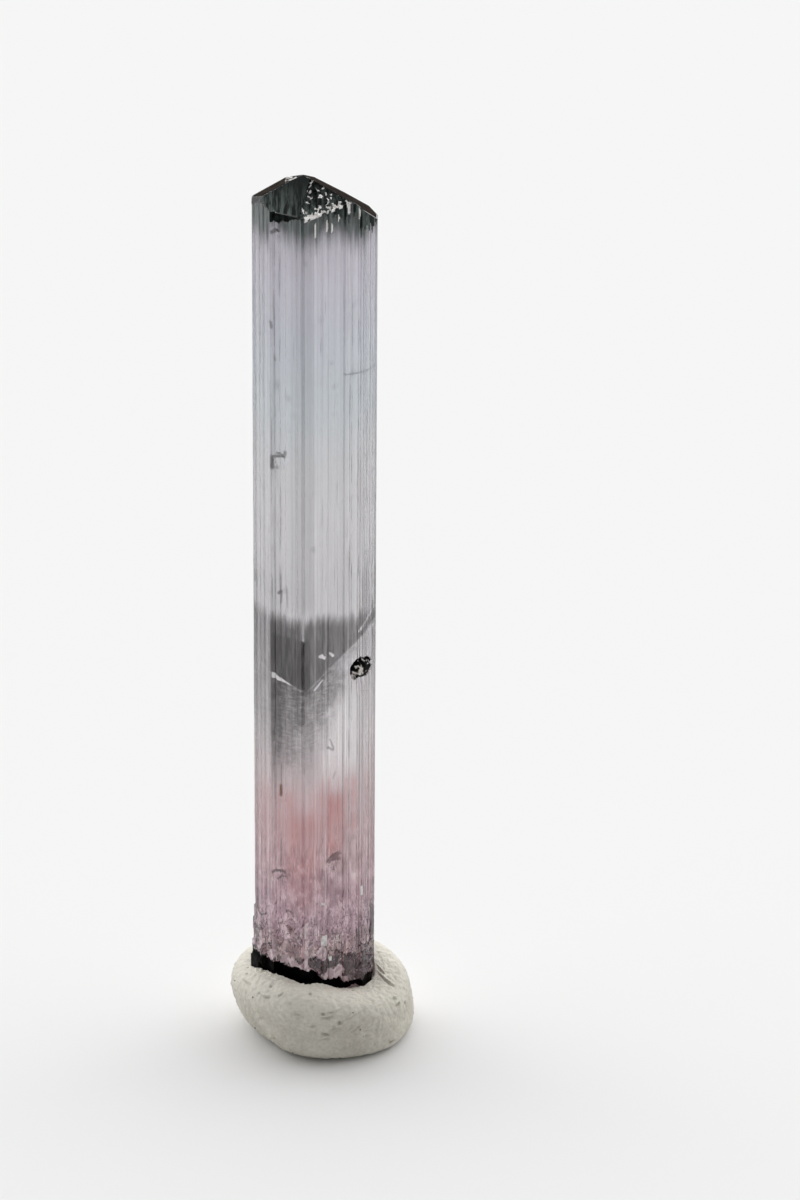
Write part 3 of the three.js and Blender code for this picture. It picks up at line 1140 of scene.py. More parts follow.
def growth_ribs() -> GeometryRule:
    """Make the rule for growth: lines along the prism, splinters at its foot, hillocks on its cap.

    Returns:
        The rule.
    """
    numbers = ["Strip Width", "Strip Step", "Line Width", "Line Depth", "Wander", "Seed"]
    numbers += ["Hillock Height", "Hillock Size", "Splinter Width", "Splinter Depth", "Crumb Share"]
    rule = GeometryRule("growth_ribs", numbers, [patch.value for patch in Patch])
    graph, inputs = rule.graph, rule.inputs
    x, y, z = graph.split(graph.add("GeometryNodeInputPosition").outputs[0])
    level = graph.product(z, 1 / MM)
    drift = graph.noise(graph.combine(inputs["Seed"], 0.0, graph.product(level, 0.09)), 1.0, 2.0)
    around = rule.attribute("around")
    round_it = graph.plus(around, graph.product(drift, inputs["Wander"]))
    tones, lines = [], []
    for scale in (0.3, 1.0):  # wide strips, then narrow ones
        count = graph.product(graph.math("DIVIDE", round_it, inputs["Strip Width"]), scale)
        count = graph.plus(count, inputs["Seed"])
        chance = graph.add("FunctionNodeSeparateColor")
        graph.feed(chance.inputs[0], graph.strips(count, "F1").outputs["Color"])
        edge = graph.strips(count, "DISTANCE_TO_EDGE").outputs["Distance"]
        reach = graph.product(graph.math("DIVIDE", inputs["Line Width"], inputs["Strip Width"]), scale)
        near = graph.math("SUBTRACT", 1.0, graph.math("DIVIDE", edge, reach), clamp=True)
        tones.append(chance.outputs[0])
        lines.append(graph.product(near, graph.blend(chance.outputs[1], 0.25, 0.9)))
    side = rule.attribute("side")
    tone = graph.plus(graph.product(tones[0], 0.6), graph.product(tones[1], 0.4))
    line = graph.product(graph.larger(lines[0], graph.product(lines[1], 0.6)), side)
    frayed = rule.attribute("frayed")
    tall = graph.math("DIVIDE", level, graph.product(inputs["Splinter Width"], 1.7))
    splinters = graph.combine(graph.math("DIVIDE", around, inputs["Splinter Width"]), tall, inputs["Seed"])
    splinter = graph.add("FunctionNodeSeparateColor")
    graph.feed(splinter.inputs[0], graph.scattered(splinters).outputs["Color"])
    front = graph.product(graph.blend(y, 0.0, -0.8 * MM), graph.blend(x, 3.0 * MM, 1.6 * MM))
    share = graph.product(frayed, frayed, front, side, inputs["Crumb Share"])
    crumbled = graph.math("GREATER_THAN", share, splinter.outputs[2])
    chip = graph.plus(0.5, graph.product(graph.minus(splinter.outputs[1], 0.5), frayed))
    stepped = graph.product(tone, inputs["Strip Step"], side)
    ribs = graph.plus(stepped, graph.product(line, inputs["Line Depth"]))
    ribs = graph.product(ribs, graph.blend(frayed, 0.0, 1.0, 1.0, 0.3))
    depth = graph.plus(ribs, graph.product(splinter.outputs[0], inputs["Splinter Depth"], frayed, side))
    ribbed = graph.vector("SCALE", rule.attribute("out", "FLOAT_VECTOR"), graph.product(depth, -1.0))
    size = inputs["Hillock Size"]
    plan = graph.combine(graph.math("DIVIDE", x, size), graph.math("DIVIDE", y, size), inputs["Seed"])
    cell = graph.scattered(plan)
    within = graph.vector("SUBTRACT", plan, cell.outputs["Position"])
    lean = graph.vector("SUBTRACT", cell.outputs["Color"], (0.5, 0.5, 0.5))
    slope = graph.math("ADD", graph.vector("DOT_PRODUCT", within, lean), 0.5, clamp=True)
    drop = graph.product(slope, inputs["Hillock Height"], rule.attribute("rough_cap"), -1.0)
    chance = graph.add("FunctionNodeSeparateColor")
    graph.feed(chance.inputs[0], cell.outputs["Color"])
    # painted glints: opaque white cells where the cap sparkles, and the frosted lower edge
    least = graph.minus(1.0, rule.attribute("bright"))
    frost = graph.math("GREATER_THAN", chance.outputs[2], least)
    mesh = inputs["Geometry"]
    kept = {"tone": tone, "line": line, "chip": chip, Patch.CRUMB.value: crumbled, Patch.FROST.value: frost}
    for name, value in kept.items():
        mesh = rule.keep(mesh, name, value)
    shaped = graph.add("GeometryNodeSetPosition")
    graph.feed(shaped.inputs["Geometry"], mesh)
    graph.feed(shaped.inputs["Offset"], graph.vector("ADD", ribbed, graph.combine(0.0, 0.0, drop)))
    rule.close(shaped.outputs[0])
    return rule


@dataclass(frozen=True)
class Dent:
    """A press mark on the putty's side, in degrees and millimetres."""

    azimuth: float
    level: float
    reach: float
    depth: float


@dataclass(frozen=True)
class Crease:
    """A short curved crack in the putty, placed across and up as the front shows it, in millimetres."""

    across: float
    up: float
    half: float
    tilt: float
    bow: float
    depth: float


@dataclass
class PuttyFoot:
    """The lump of putty pressed round the crystal's base, with sizes in millimetres."""

    crystal: Crystal
    node: str = "putty_foot"
    slot: str = "putty"
    columns: int = 480
    wall_rings: int = 112
    top_rings: int = 32
    floor_rings: int = 8
    bottom_rings: int = 10
    undercut: float = 0.85
    inset: float = 0.07
    lip_height: float = 0.2
    lip_reach: float = 0.35
    lip_pace: float = 2.6
    socket_level: float = 0.4
    socket_gap: float = 0.1
    free_from: float = 0.6
    grain_depth: float = 0.06
    grain_size: float = 0.32
    pit_depth: float = 0.09
    pit_size: float = 1.1
    rim_spread: float = 14.0
    seen_from: float = 26.0
    crease_count: int = 44
    chance_levels: Run = (0.6, 3.9)
    chance_half: Run = (0.12, 0.6)
    chance_bend: float = 0.3
    chance_depth: Run = (0.15, 0.45)
    crease_width: float = 0.065
    crease_depth: float = 0.14
    crease_lip: float = 0.9
    crease_facing: Run = (0.05, 0.3)
    lip_limit: float = 0.06
    lip_offset: float = 1.7
    creases: tuple[Crease, ...] = (
        Crease(0.9, 0.84, 0.5, 0.25, 0.7, 0.14),
        Crease(0.6, 1.07, 0.13, 0.0, 0.0, 0.2),
        Crease(1.3, 1.2, 0.45, 0.35, 0.3, 0.08),
        Crease(-0.97, 1.03, 0.3, -0.3, 0.6, 0.13),
        Crease(-0.8, 0.85, 0.26, 0.1, 0.5, 0.08),
        Crease(0.74, -0.22, 0.3, -0.25, 0.4, 0.17),
        Crease(0.86, -0.45, 0.3, 0.2, 0.5, 0.13),
        Crease(1.5, 0.2, 0.7, 0.35, 0.2, 0.06),
        Crease(2.3, 0.86, 0.85, 0.5, 0.0, 0.06),
        Crease(3.4, -0.6, 0.25, 0.4, 0.0, 0.06),
        Crease(4.86, -0.78, 0.2, 0.5, 0.0, 0.16),
        Crease(5.2, 1.5, 0.14, 0.2, 0.0, 0.16),
        Crease(5.0, 1.85, 0.14, -0.3, 0.0, 0.12),
        Crease(4.45, 2.9, 0.62, -0.72, 0.2, 0.12),
        Crease(4.1, 3.5, 0.3, -0.9, 0.0, 0.07),
        Crease(-2.97, 2.02, 0.32, -0.15, 0.7, 0.12),
        Crease(-2.03, 2.2, 0.2, 0.6, 0.0, 0.1),
        Crease(-4.24, 2.83, 0.26, -0.5, 0.3, 0.12),
        Crease(-2.57, -0.62, 0.22, 0.1, 0.0, 0.1),
        Crease(-3.5, 1.0, 0.16, -0.4, 0.0, 0.09),
        Crease(-3.3, 0.6, 0.2, 0.4, 0.0, 0.08),
        Crease(-0.1, 0.3, 0.6, 0.1, -0.1, 0.05),
    )
    grit_radius: float = 0.05
    grit_density: float = 1.2e5
    profile: tuple[Run, ...] = (
        (0.75, 0.0), (0.87, 0.05), (0.95, 0.17), (0.985, 0.33), (1.0, 0.54), (0.985, 0.75),
        (0.92, 0.9), (0.82, 0.975), (0.72, 1.0),
    )
    rim_heights: tuple[Run, ...] = (
        (-180.0, 4.75), (-140.0, 4.65), (-94.0, 4.15), (-55.0, 4.8), (-15.0, 4.86), (18.0, 4.35),
        (43.0, 3.78), (75.0, 3.55), (110.0, 4.15), (150.0, 4.75),
    )
    dents: tuple[Dent, ...] = (
        Dent(20.0, 1.6, 2.2, 0.16),
        Dent(-48.0, 1.2, 1.8, 0.3),
        Dent(150.0, 2.6, 2.2, 0.35),
        Dent(-130.0, 2.3, 2.0, 0.3),
    )
    lumps: tuple[tuple[int, float, float], ...] = ((2, 0.022, 0.6), (3, 0.02, 2.1), (5, 0.012, 4.0))

    def __post_init__(self) -> None:
        """Read the foot's own sizes off the frame."""
        low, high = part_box(self.node)
        self.low, self.high = np.array(low) / MM, np.array(high) / MM
        self.half = (self.high - self.low)[:2] / 2
        self.middle = (self.high + self.low)[:2] / 2
        self.azimuth = np.arange(self.columns) * 2 * math.pi / self.columns
        self.way = np.column_stack([np.sin(self.azimuth), -np.cos(self.azimuth)])

    def top_height(self) -> Array:
        """Give the height of the putty's top round the crystal, which falls towards the right front."""
        azimuth = np.degrees(self.azimuth)[:, None] + np.linspace(-self.rim_spread, self.rim_spread, 9)
        return np.interp(azimuth, *np.transpose(self.rim_heights), period=360.0).mean(1)

    def chance_creases(self) -> list[Crease]:
        """Scatter small creases over the wall, each placed by the distance round it and its height.

        Returns:
            The creases.
        """
        random = np.random.default_rng(Seed.CREASES)
        reach = math.pi * float(self.half.mean())
        return [
            Crease(
                random.uniform(-reach, reach),
                random.uniform(*self.chance_levels),
                random.uniform(*self.chance_half),
                random.normal(0.0, self.chance_bend),
                random.normal(0.0, self.chance_bend),
                self.crease_depth * random.uniform(*self.chance_depth),
            )
            for _ in range(self.crease_count)
        ]

    def creased(self, rings: list[Array]) -> tuple[list[Array], list[Array]]:
        """Press the creases into the wall and the top, each with a lip above it.

        Args:
            rings: The rings of the wall and the top, from below.

        Returns:
            The rings with their creases, and for each ring how deep in a crease every point lies, up to 1.
        """
        points = np.stack(rings)
        upward = np.gradient(points, axis=0)
        onward = np.roll(points, -1, 1) - np.roll(points, 1, 1)
        normals = np.cross(onward, upward)
        normals /= np.linalg.norm(normals, axis=2, keepdims=True) + 1e-9
        view = math.radians(self.seen_from)
        seen = normals @ np.array([0.0, -math.cos(view), math.sin(view)])
        across, up = points[..., 0], points[..., 1] * math.sin(view) + points[..., 2] * math.cos(view)
        turn = (self.azimuth + math.pi) % (2 * math.pi) - math.pi
        round_it = np.broadcast_to(turn * self.half.mean(), across.shape)
        push, deep = np.zeros_like(across), np.zeros_like(across)
        for crease in (*self.creases, *self.chance_creases()):
            named = crease in self.creases
            aside = (across if named else round_it) - crease.across
            level = (up if named else points[..., 2]) - crease.up
            level = (level - crease.tilt * aside - crease.bow * aside**2) / self.crease_width
            fade = np.clip(1.0 - (aside / crease.half) ** 2, 0.0, 1.0)
            if named:
                fade = fade * smooth_step(seen, *self.crease_facing)
            valley, lip = np.exp(-(level**2)), np.exp(-((level - self.lip_offset) ** 2))
            push += crease.depth * fade * (self.crease_lip * lip - valley)
            deep = np.maximum(deep, fade * valley * min(1.0, crease.depth / self.crease_depth))
        push = np.minimum(push, self.lip_limit)
        return [*(points + normals * push[..., None])], [*deep]

    def socket_edge(self) -> Array:
        """Give the distance from the axis to the crystal's outline at each azimuth.

        Returns:
            One distance for each azimuth.
        """
        plan = self.crystal.plan - self.crystal.groove_depth()[:, None] * self.crystal.out
        levels = np.full((1, len(plan)), self.high[2] - self.socket_level)
        plan = plan + self.crystal.flake_rise(levels)[0][:, None] * self.crystal.out
        angle = np.arctan2(plan[:, 0], -plan[:, 1]) % (2 * math.pi)
        order = np.argsort(angle)
        return np.interp(self.azimuth, angle[order], np.linalg.norm(plan, axis=1)[order], period=2 * math.pi)

    def wall(self, share: float, height: float, top: Array) -> Array:
        """Give one ring of the side wall before it is fitted to the frame.

        Args:
            share: How far out it lies, where 1 is the widest.
            height: How high it lies, where 1 is the top.
            top: The top's height at each azimuth.

        Returns:
            The ring's points.
        """
        level = height * top
        pressed = np.zeros(self.columns)
        for dent in self.dents:
            turn = np.radians((np.degrees(self.azimuth) - dent.azimuth + 180.0) % 360.0 - 180.0)
            away = ((turn * self.half[0]) ** 2 + (level - dent.level) ** 2) / dent.reach**2
            pressed += dent.depth * np.exp(-2 * away)
        lumps = sum(size * np.sin(waves * self.azimuth + phase) for waves, size, phase in self.lumps)
        plan = self.way * self.half * (share * (1 + lumps) - share * pressed / self.half[0])[:, None]
        plan[:, 0] += self.undercut * (1 - height) ** 2
        return np.column_stack([plan, level])

    def fitted(self, rings: list[Array]) -> list[Array]:
        """Move and stretch rings so that their widest places meet the frame's box.

        Args:
            rings: The rings of the wall.

        Returns:
            The rings in their new places.
        """
        points = np.vstack(rings)[:, :2]
        low, high = points.min(0), points.max(0)
        scale = ((self.high - self.low)[:2] - 2 * self.inset) / (high - low)
        start = self.low[:2] + self.inset
        return [np.column_stack([(r[:, :2] - low) * scale + start, r[:, 2]]) for r in rings]

    def surface(self) -> tuple[RingSurface, Marks]:
        """Work out every point of the foot before its fine grain.

        Returns:
            The surface, and for each named mark one row of values for each ring.
        """
        top = self.top_height()
        spline = [np.array(p) for p in self.profile]
        ends = [2 * spline[0] - spline[1], *spline, 2 * spline[-1] - spline[-2]]
        walls, free = [], []
        for step in np.linspace(0, len(spline) - 1, self.wall_rings):
            i = min(int(step), len(spline) - 2)
            t = step - i
            a, b, c, d = ends[i : i + 4]
            share, height = 0.5 * (
                2 * b + (c - a) * t + (2 * a - 5 * b + 4 * c - d) * t**2 + (3 * b - a - 3 * c + d) * t**3
            )
            walls.append(self.wall(share, max(height, 0.0), top))
            free.append(smooth_step(np.full(self.columns, step), 0.0, self.free_from))
        walls = self.fitted(walls)
        first = walls[0]
        centre = first[:, :2].mean(0)
        under = [
            np.column_stack([centre + (first[:, :2] - centre) * share, np.zeros(self.columns)])
            for share in np.linspace(0, 1, self.bottom_rings + 1)[1:-1]
        ]
        rings = [*under, *walls]
        free = [np.zeros(self.columns)] * len(under) + free
        edge = self.socket_edge()
        inner = edge[:, None] * self.way
        outer = rings[-1]
        lip = self.lip_height * value_noise(self.way * self.lip_pace, Seed.LIP)
        for share in np.linspace(0, 1, self.top_rings + 1)[1:]:
            plan = outer[:, :2] + (inner - outer[:, :2]) * share
            near = np.linalg.norm(plan, axis=1) - edge
            level = outer[:, 2] + lip * np.exp(-near / self.lip_reach)
            rings.append(np.column_stack([plan, level]))
            free.append(np.ones(self.columns))
        start = len(under) + 2
        rings[start:], deep = self.creased(rings[start:])
        floor = self.crystal.low[2] - self.socket_gap
        for share in np.linspace(1, 0, self.floor_rings + 1)[:-1]:
            rings.append(np.column_stack([inner * share, np.full(self.columns, floor)]))
            free.append(np.zeros(self.columns))
        none = np.zeros(self.columns)
        surface = RingSurface(np.array([*centre, 0.0]), np.array([0.0, 0.0, floor]), rings)
        return surface, {"free": free, "creased": [none] * start + deep + [none] * self.floor_rings}

    def build(self, finish: Material, grit: Material) -> list[Object]:
        """Make the foot and the grit pressed into it.

        Args:
            finish: The putty's material.
            grit: The material of the dark grains.

        Returns:
            The two pieces.
        """
        surface, marks = self.surface()
        foot = surface.piece("putty_foot_pressed", smooth=True)
        for name, rings in marks.items():
            surface.mark(foot, name, rings)
        pressed_putty().run(
            foot,
            {
                "Grain Depth": self.grain_depth * MM,
                "Grain Size": self.grain_size * MM,
                "Pit Depth": self.pit_depth * MM,
                "Pit Size": self.pit_size * MM,
                "Seed": 2.0,
                "Finish": finish,
            },
        )
        grains = bpy.data.objects.new("putty_grit", foot.data.copy())
        bpy.context.scene.collection.objects.link(grains)
        scattered_grit().run(
            grains,
            {"Radius": self.grit_radius * MM, "Density": self.grit_density, "Seed": 6.0, "Finish": grit},
        )
        for piece in (foot, grains):
            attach(piece, BODY)
        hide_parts(self.node)
        return [foot, grains]


def pressed_putty() -> GeometryRule:
    """Make the rule for pressed putty: fine uneven grain and sparse pits, both pressed inwards.

    Returns:
        The rule.
    """
    rule = GeometryRule("pressed_putty", ["Grain Depth", "Grain Size", "Pit Depth", "Pit Size", "Seed"])
    graph, inputs = rule.graph, rule.inputs
    position = graph.add("GeometryNodeInputPosition").outputs[0]
    shift = graph.combine(inputs["Seed"], inputs["Seed"], inputs["Seed"])
    steps = [
        graph.vector("ADD", graph.vector("SCALE", position, graph.math("DIVIDE", 1.0, inputs[size])), shift)
        for size in ("Grain Size", "Pit Size")
    ]
    free = rule.attribute("free")
    grain = graph.blend(graph.noise(steps[0], 1.0, 3.0, 0.6), 0.3, 0.7)
    pits = graph.product(graph.blend(graph.cells(steps[1], 1.0), 0.14, 0.04), free)
    depth = graph.math(
        "ADD", graph.product(grain, inputs["Grain Depth"], free), graph.product(pits, inputs["Pit Depth"])
    )
    normal = graph.add("GeometryNodeInputNormal").outputs[0]
    inward = graph.vector("SCALE", normal, graph.product(depth, -1.0))
    shaped = graph.add("GeometryNodeSetPosition")
    graph.feed(shaped.inputs["Geometry"], rule.keep(inputs["Geometry"], "pitted", pits))
    graph.feed(shaped.inputs["Offset"], inward)
    rule.close(shaped.outputs[0])
    return rule


def scattered_grit() -> GeometryRule:
    """Make the rule for grit: small angular grains scattered over the free putty.

    Returns:
        The rule.
    """
    rule = GeometryRule("scattered_grit", ["Radius", "Density", "Seed"])
    graph, inputs = rule.graph, rule.inputs
    spread = graph.add("GeometryNodeDistributePointsOnFaces")
    graph.feed(spread.inputs["Mesh"], inputs["Geometry"])
    graph.feed(spread.inputs["Density"], graph.math("MULTIPLY", inputs["Density"], rule.attribute("free")))
    graph.feed(spread.inputs["Seed"], inputs["Seed"])
    grain = graph.add("GeometryNodeMeshIcoSphere")
    graph.feed(grain.inputs["Radius"], inputs["Radius"])
    size = graph.add("FunctionNodeRandomValue", data_type="FLOAT")
    graph.feed(size.inputs[2], 0.35)
    graph.feed(size.inputs[3], 1.2)
    graph.feed(size.inputs["Seed"], inputs["Seed"])
    turn = graph.add("FunctionNodeRandomValue", data_type="FLOAT_VECTOR")
    turn.inputs[1].default_value = (6.28, 6.28, 6.28)
    graph.feed(turn.inputs["Seed"], inputs["Seed"])
    placed = graph.add("GeometryNodeInstanceOnPoints")
    graph.feed(placed.inputs["Points"], spread.outputs["Points"])
    graph.feed(placed.inputs["Instance"], grain.outputs["Mesh"])
    graph.feed(placed.inputs["Rotation"], turn.outputs[0])
    graph.feed(placed.inputs["Scale"], size.outputs[1])
    rule.close(placed.outputs[0])
    return rule


def new_material(name: str) -> tuple[Material, Graph, Node]:
    """Start a material.

    Args:
        name: The material's name.

    Returns:
        The material, its graph and its principled shader.
    """
    material = bpy.data.materials.new(name)
    material.use_nodes = True
    graph = Graph(material.node_tree)
    shader = next(n for n in material.node_tree.nodes if n.type == "BSDF_PRINCIPLED")
    return material, graph, shader


def speckle_group() -> NodeTree:
    """Make the shared group for small dark specks and soft mottling, both in millimetres.

    Returns:
        The group.
    """
    tree = bpy.data.node_groups.new("speckle", "ShaderNodeTree")
    tree.interface.new_socket(name="Place", in_out="INPUT", socket_type="NodeSocketVector")
    for name in ("Speck Size", "Mottle Size"):
        tree.interface.new_socket(name=name, in_out="INPUT", socket_type="NodeSocketFloat")
    for name in ("Specks", "Mottle"):
        tree.interface.new_socket(name=name, in_out="OUTPUT", socket_type="NodeSocketFloat")
    graph = Graph(tree)
    inputs = graph.add("NodeGroupInput").outputs
    outputs = graph.add("NodeGroupOutput").inputs
    near = graph.cells(inputs["Place"], graph.math("DIVIDE", 1.0, inputs["Speck Size"]))
    broken = graph.noise(inputs["Place"], graph.math("DIVIDE", 2.0, inputs["Speck Size"]), 2.0)
    graph.feed(outputs["Specks"], graph.blend(graph.plus(near, graph.product(broken, 0.25)), 0.32, 0.16))
    mottle = graph.noise(inputs["Place"], graph.math("DIVIDE", 1.0, inputs["Mottle Size"]), 4.0, 0.6)
    graph.feed(outputs["Mottle"], graph.blend(mottle, 0.3, 0.7))
    return tree


def place_in_mm(graph: Graph) -> Socket:
    """Give the place on the piece in millimetres.

    Args:
        graph: The graph.

    Returns:
        The place as a vector.
    """
    node = graph.add("ShaderNodeMapping", vector_type="POINT")
    node.inputs["Scale"].default_value = (1 / MM, 1 / MM, 1 / MM)
    graph.feed(node.inputs["Vector"], graph.add("ShaderNodeTexCoord").outputs["Object"])
    return node.outputs[0]


def speckled(
    graph: Graph, group: NodeTree, place: Value, speck: float, mottle: float
) -> tuple[Socket, Socket]:
    """Place the shared speckle group in a material, and give its specks and mottling.

    Args:
        graph: The graph.
        group: The shared speckle group.
        place: The place in millimetres.
        speck: The distance between specks.
        mottle: The size of the mottling.

    Returns:
        The specks and the mottling, both from 0 to 1.
    """
    node = graph.add("ShaderNodeGroup", node_tree=group)
    graph.feed(node.inputs["Place"], place)
    node.inputs["Speck Size"].default_value = speck
    node.inputs["Mottle Size"].default_value = mottle
    return node.outputs["Specks"], node.outputs["Mottle"]


def stroke_group() -> NodeTree:
    """Make the shared group for a short straight stroke with ragged edges, in millimetres.

    Returns:
        The group.
    """
    tree = bpy.data.node_groups.new("stroke", "ShaderNodeTree")
    for name in ("Place", "Start", "Run", "Pace"):
        tree.interface.new_socket(name=name, in_out="INPUT", socket_type="NodeSocketVector")
    for name in ("Width", "Ragged"):
        tree.interface.new_socket(name=name, in_out="INPUT", socket_type="NodeSocketFloat")
    tree.interface.new_socket(name="Mask", in_out="OUTPUT", socket_type="NodeSocketFloat")
    graph = Graph(tree)
    inputs = graph.add("NodeGroupInput").outputs
    outputs = graph.add("NodeGroupOutput").inputs
    here = graph.vector("SUBTRACT", inputs["Place"], inputs["Start"])
    along = graph.math("ADD", graph.vector("DOT_PRODUCT", here, inputs["Pace"]), 0.0, clamp=True)
    away = graph.vector("DISTANCE", here, graph.vector("SCALE", inputs["Run"], along))
    reach = graph.plus(graph.math("DIVIDE", away, inputs["Width"]), inputs["Ragged"])
    graph.feed(outputs["Mask"], graph.blend(reach, 1.0, 0.35))
    return tree


@dataclass(frozen=True)
class Stroke:
    """A short mark on the front, from one place across and height to another, in millimetres."""

    start: Run
    end: Run
    width: float
    strength: float
    code: str = "1A1416"


def streaks(graph: Graph, spot: Spot, across: float, along: float) -> Socket:
    """Give noise drawn out along the crystal.

    Args:
        graph: The graph.
        spot: The place in millimetres.
        across: Its steps to the millimetre across the crystal.
        along: Its steps to the millimetre along the crystal.

    Returns:
        The noise, from about 0 to 1.
    """
    x, y, z = spot
    drawn = graph.combine(graph.product(x, across), graph.product(y, across), graph.product(z, along))
    return graph.noise(drawn, 1.0, 2.5, 0.55)


@dataclass(frozen=True)
class Cloud:
    """A soft-edged patch by where it starts, is full, wanes and ends, across and upwards, in millimetres."""

    across: Window
    levels: Window
    share: float = 1.0

    def mask(self, graph: Graph, spot: Spot) -> Socket:
        """Give how strong it is at a place."""
        across, levels = graph.window(spot[0], *self.across), graph.window(spot[2], *self.levels)
        return graph.product(across, levels, self.share)


@dataclass(frozen=True)
class SmokyBand:
    """The smoky band round the crystal's middle, with a bent growth plane in it, places in millimetres."""

    clearness: float = 0.006
    tint: Colour = paint("F4EAEC")
    # whitish colour of the clear patch, also the colour of the gleam in the plane's left end
    haze_and_gleam: Colour = paint("FBF9F9")
    plane_corner: Run = (-0.46, 24.85)
    plane_rises: Run = (0.88, -0.33)
    plane_edge: float = 0.15
    top: Run = (29.65, 28.5)
    top_ragged: float = -1.1
    top_lift: Window = (1.8, 0.6, 0.0, 0.3)
    left: Window = (-2.66, -2.56, -0.3, -0.16)
    left_top: Run = (28.4, 28.2)
    left_share: float = 0.29
    right_share: Window = (0.0, 2.4, 0.67, 0.48)
    grain_pace: Run = (6.0, 0.9)
    grain_share: Window = (0.3, 0.7, 0.7, 1.12)
    lower_slope: Run = (0.31, -6.1)
    lower_edge: Run = (1.2, -1.6)
    lower_mottle: float = 1.2
    lower_fade: Run = (17.5, 25.5)
    lower_left: Window = (-2.66, -2.56, -0.1, 0.5)
    lower_left_share: Window = (-1.6, -2.0, 0.85, 1.2)
    lower_left_least: float = 0.75
    lower_left_fade: Run = (17.0, 24.0)
    tick_pace: Run = (2.2, 7.0)
    tick_share: Window = (0.35, 0.65, 0.42, 0.78)
    front: Run = (0.6, -0.2)
    rib_share: Window = (-2.74, -2.6, 0.45, 1.0)
    clear_patch: Cloud = Cloud((0.3, 0.6, 2.1, 2.4), (17.0, 19.5, 23.0, 25.0), 0.6)
    clear_edge: Run = (0.2, 0.7)
    gleam_reach: Window = (-2.58, -2.54, -1.4, -1.3)
    gleam_taper: Run = (1.3, -0.16)
    gleam_edge: float = 0.03
    gleam_share: float = 0.75

    def over_plane(self, graph: Graph, spot: Spot) -> Socket:
        """Give the height over the bent growth plane.

        Args:
            graph: The graph.
            spot: The place in millimetres.

        Returns:
            The height in millimetres.
        """
        across, level = self.plane_corner
        beside = graph.minus(spot[0], across)
        bent = graph.larger(*(graph.product(beside, rise) for rise in self.plane_rises))
        return graph.minus(spot[2], graph.plus(bent, level))

    def slant(self, graph: Graph, spot: Spot) -> Socket:
        """Give how far right a place lies of the slanting edge under the plane."""
        rise, start = self.lower_slope
        return graph.minus(spot[0], graph.plus(graph.product(spot[2], rise), start))

    def upper(self, graph: Graph, spot: Spot, streak: Value, grain: Value) -> Socket:
        """Give the smoke above the plane: darkest at the left, ragged at its top.

        Args:
            graph: The graph.
            spot: The place in millimetres.
            streak: Noise drawn out along the crystal.
            grain: Fine grain.

        Returns:
            How thick the smoke is.
        """
        x, _, z = spot
        ragged = graph.plus(z, graph.product(graph.minus(streak, 0.5), self.top_ragged))
        ragged = graph.minus(ragged, graph.blend(x, *self.top_lift))
        left = graph.product(graph.window(x, *self.left), graph.blend(z, *self.left_top), self.left_share)
        share = graph.plus(left, graph.blend(x, *self.right_share))
        return graph.product(graph.blend(ragged, *self.top), share, grain)

    def lower(self, graph: Graph, spot: Spot, mottle: Value, grain: Value) -> Socket:
        """Give the smoke under the plane: fading downwards, in short ticks.

        Args:
            graph: The graph.
            spot: The place in millimetres.
            mottle: Soft mottling.
            grain: Fine grain.

        Returns:
            How thick the smoke is.
        """
        x, _, z = spot
        edge = graph.plus(self.slant(graph, spot), graph.product(mottle, self.lower_mottle))
        left = graph.product(graph.window(x, *self.lower_left), graph.blend(x, *self.lower_left_share))
        inside = graph.larger(graph.blend(edge, *self.lower_edge), graph.product(left, self.lower_left_least))
        left_fade = graph.product(left, graph.blend(z, *self.lower_left_fade))
        fade = graph.larger(graph.blend(z, *self.lower_fade), left_fade)
        across, along = self.tick_pace
        drawn = graph.combine(graph.product(x, across), 0.0, graph.product(z, along))
        ticks = graph.blend(graph.noise(drawn, 1.0, 3.0, 0.6), *self.tick_share)
        return graph.product(fade, inside, grain, ticks)

    def laid(self, graph: Graph, colour: Value, spot: Spot, streak: Value, mottle: Value) -> Socket:
        """Lay the smoke over a colour, with a clear patch at the right and a gleam in the plane's left end.

        Args:
            graph: The graph.
            colour: The colour so far.
            spot: The place in millimetres.
            streak: Noise drawn out along the crystal.
            mottle: Soft mottling.

        Returns:
            The colour with the smoke.
        """
        x, y, _ = spot
        over = self.over_plane(graph, spot)
        above = graph.blend(over, -self.plane_edge, self.plane_edge)
        grain = graph.blend(streaks(graph, spot, *self.grain_pace), *self.grain_share)
        upper = graph.product(self.upper(graph, spot, streak, grain), above)
        lower = graph.product(self.lower(graph, spot, mottle, grain), graph.minus(1.0, above))
        front = graph.product(graph.blend(y, *self.front), graph.blend(x, *self.rib_share))
        depth = graph.product(graph.larger(upper, lower), front)
        tinted = graph.mix(depth, colour, self.tint, "MULTIPLY")
        colour = graph.mix(1.0, tinted, graph.math("POWER", self.clearness, depth), "MULTIPLY")
        right = graph.blend(self.slant(graph, spot), *self.clear_edge)
        colour = graph.mix(graph.product(right, self.clear_patch.mask(graph, spot)), colour, self.haze_and_gleam)
        start, thinner = self.gleam_taper
        taper = graph.product(graph.plus(x, start), thinner)
        away = graph.minus(graph.math("ABSOLUTE", over), taper)
        gleam = graph.blend(away, self.gleam_edge, -self.gleam_edge)
        gleam = graph.product(gleam, graph.window(x, *self.gleam_reach), self.gleam_share)
        return graph.mix(gleam, colour, self.haze_and_gleam)


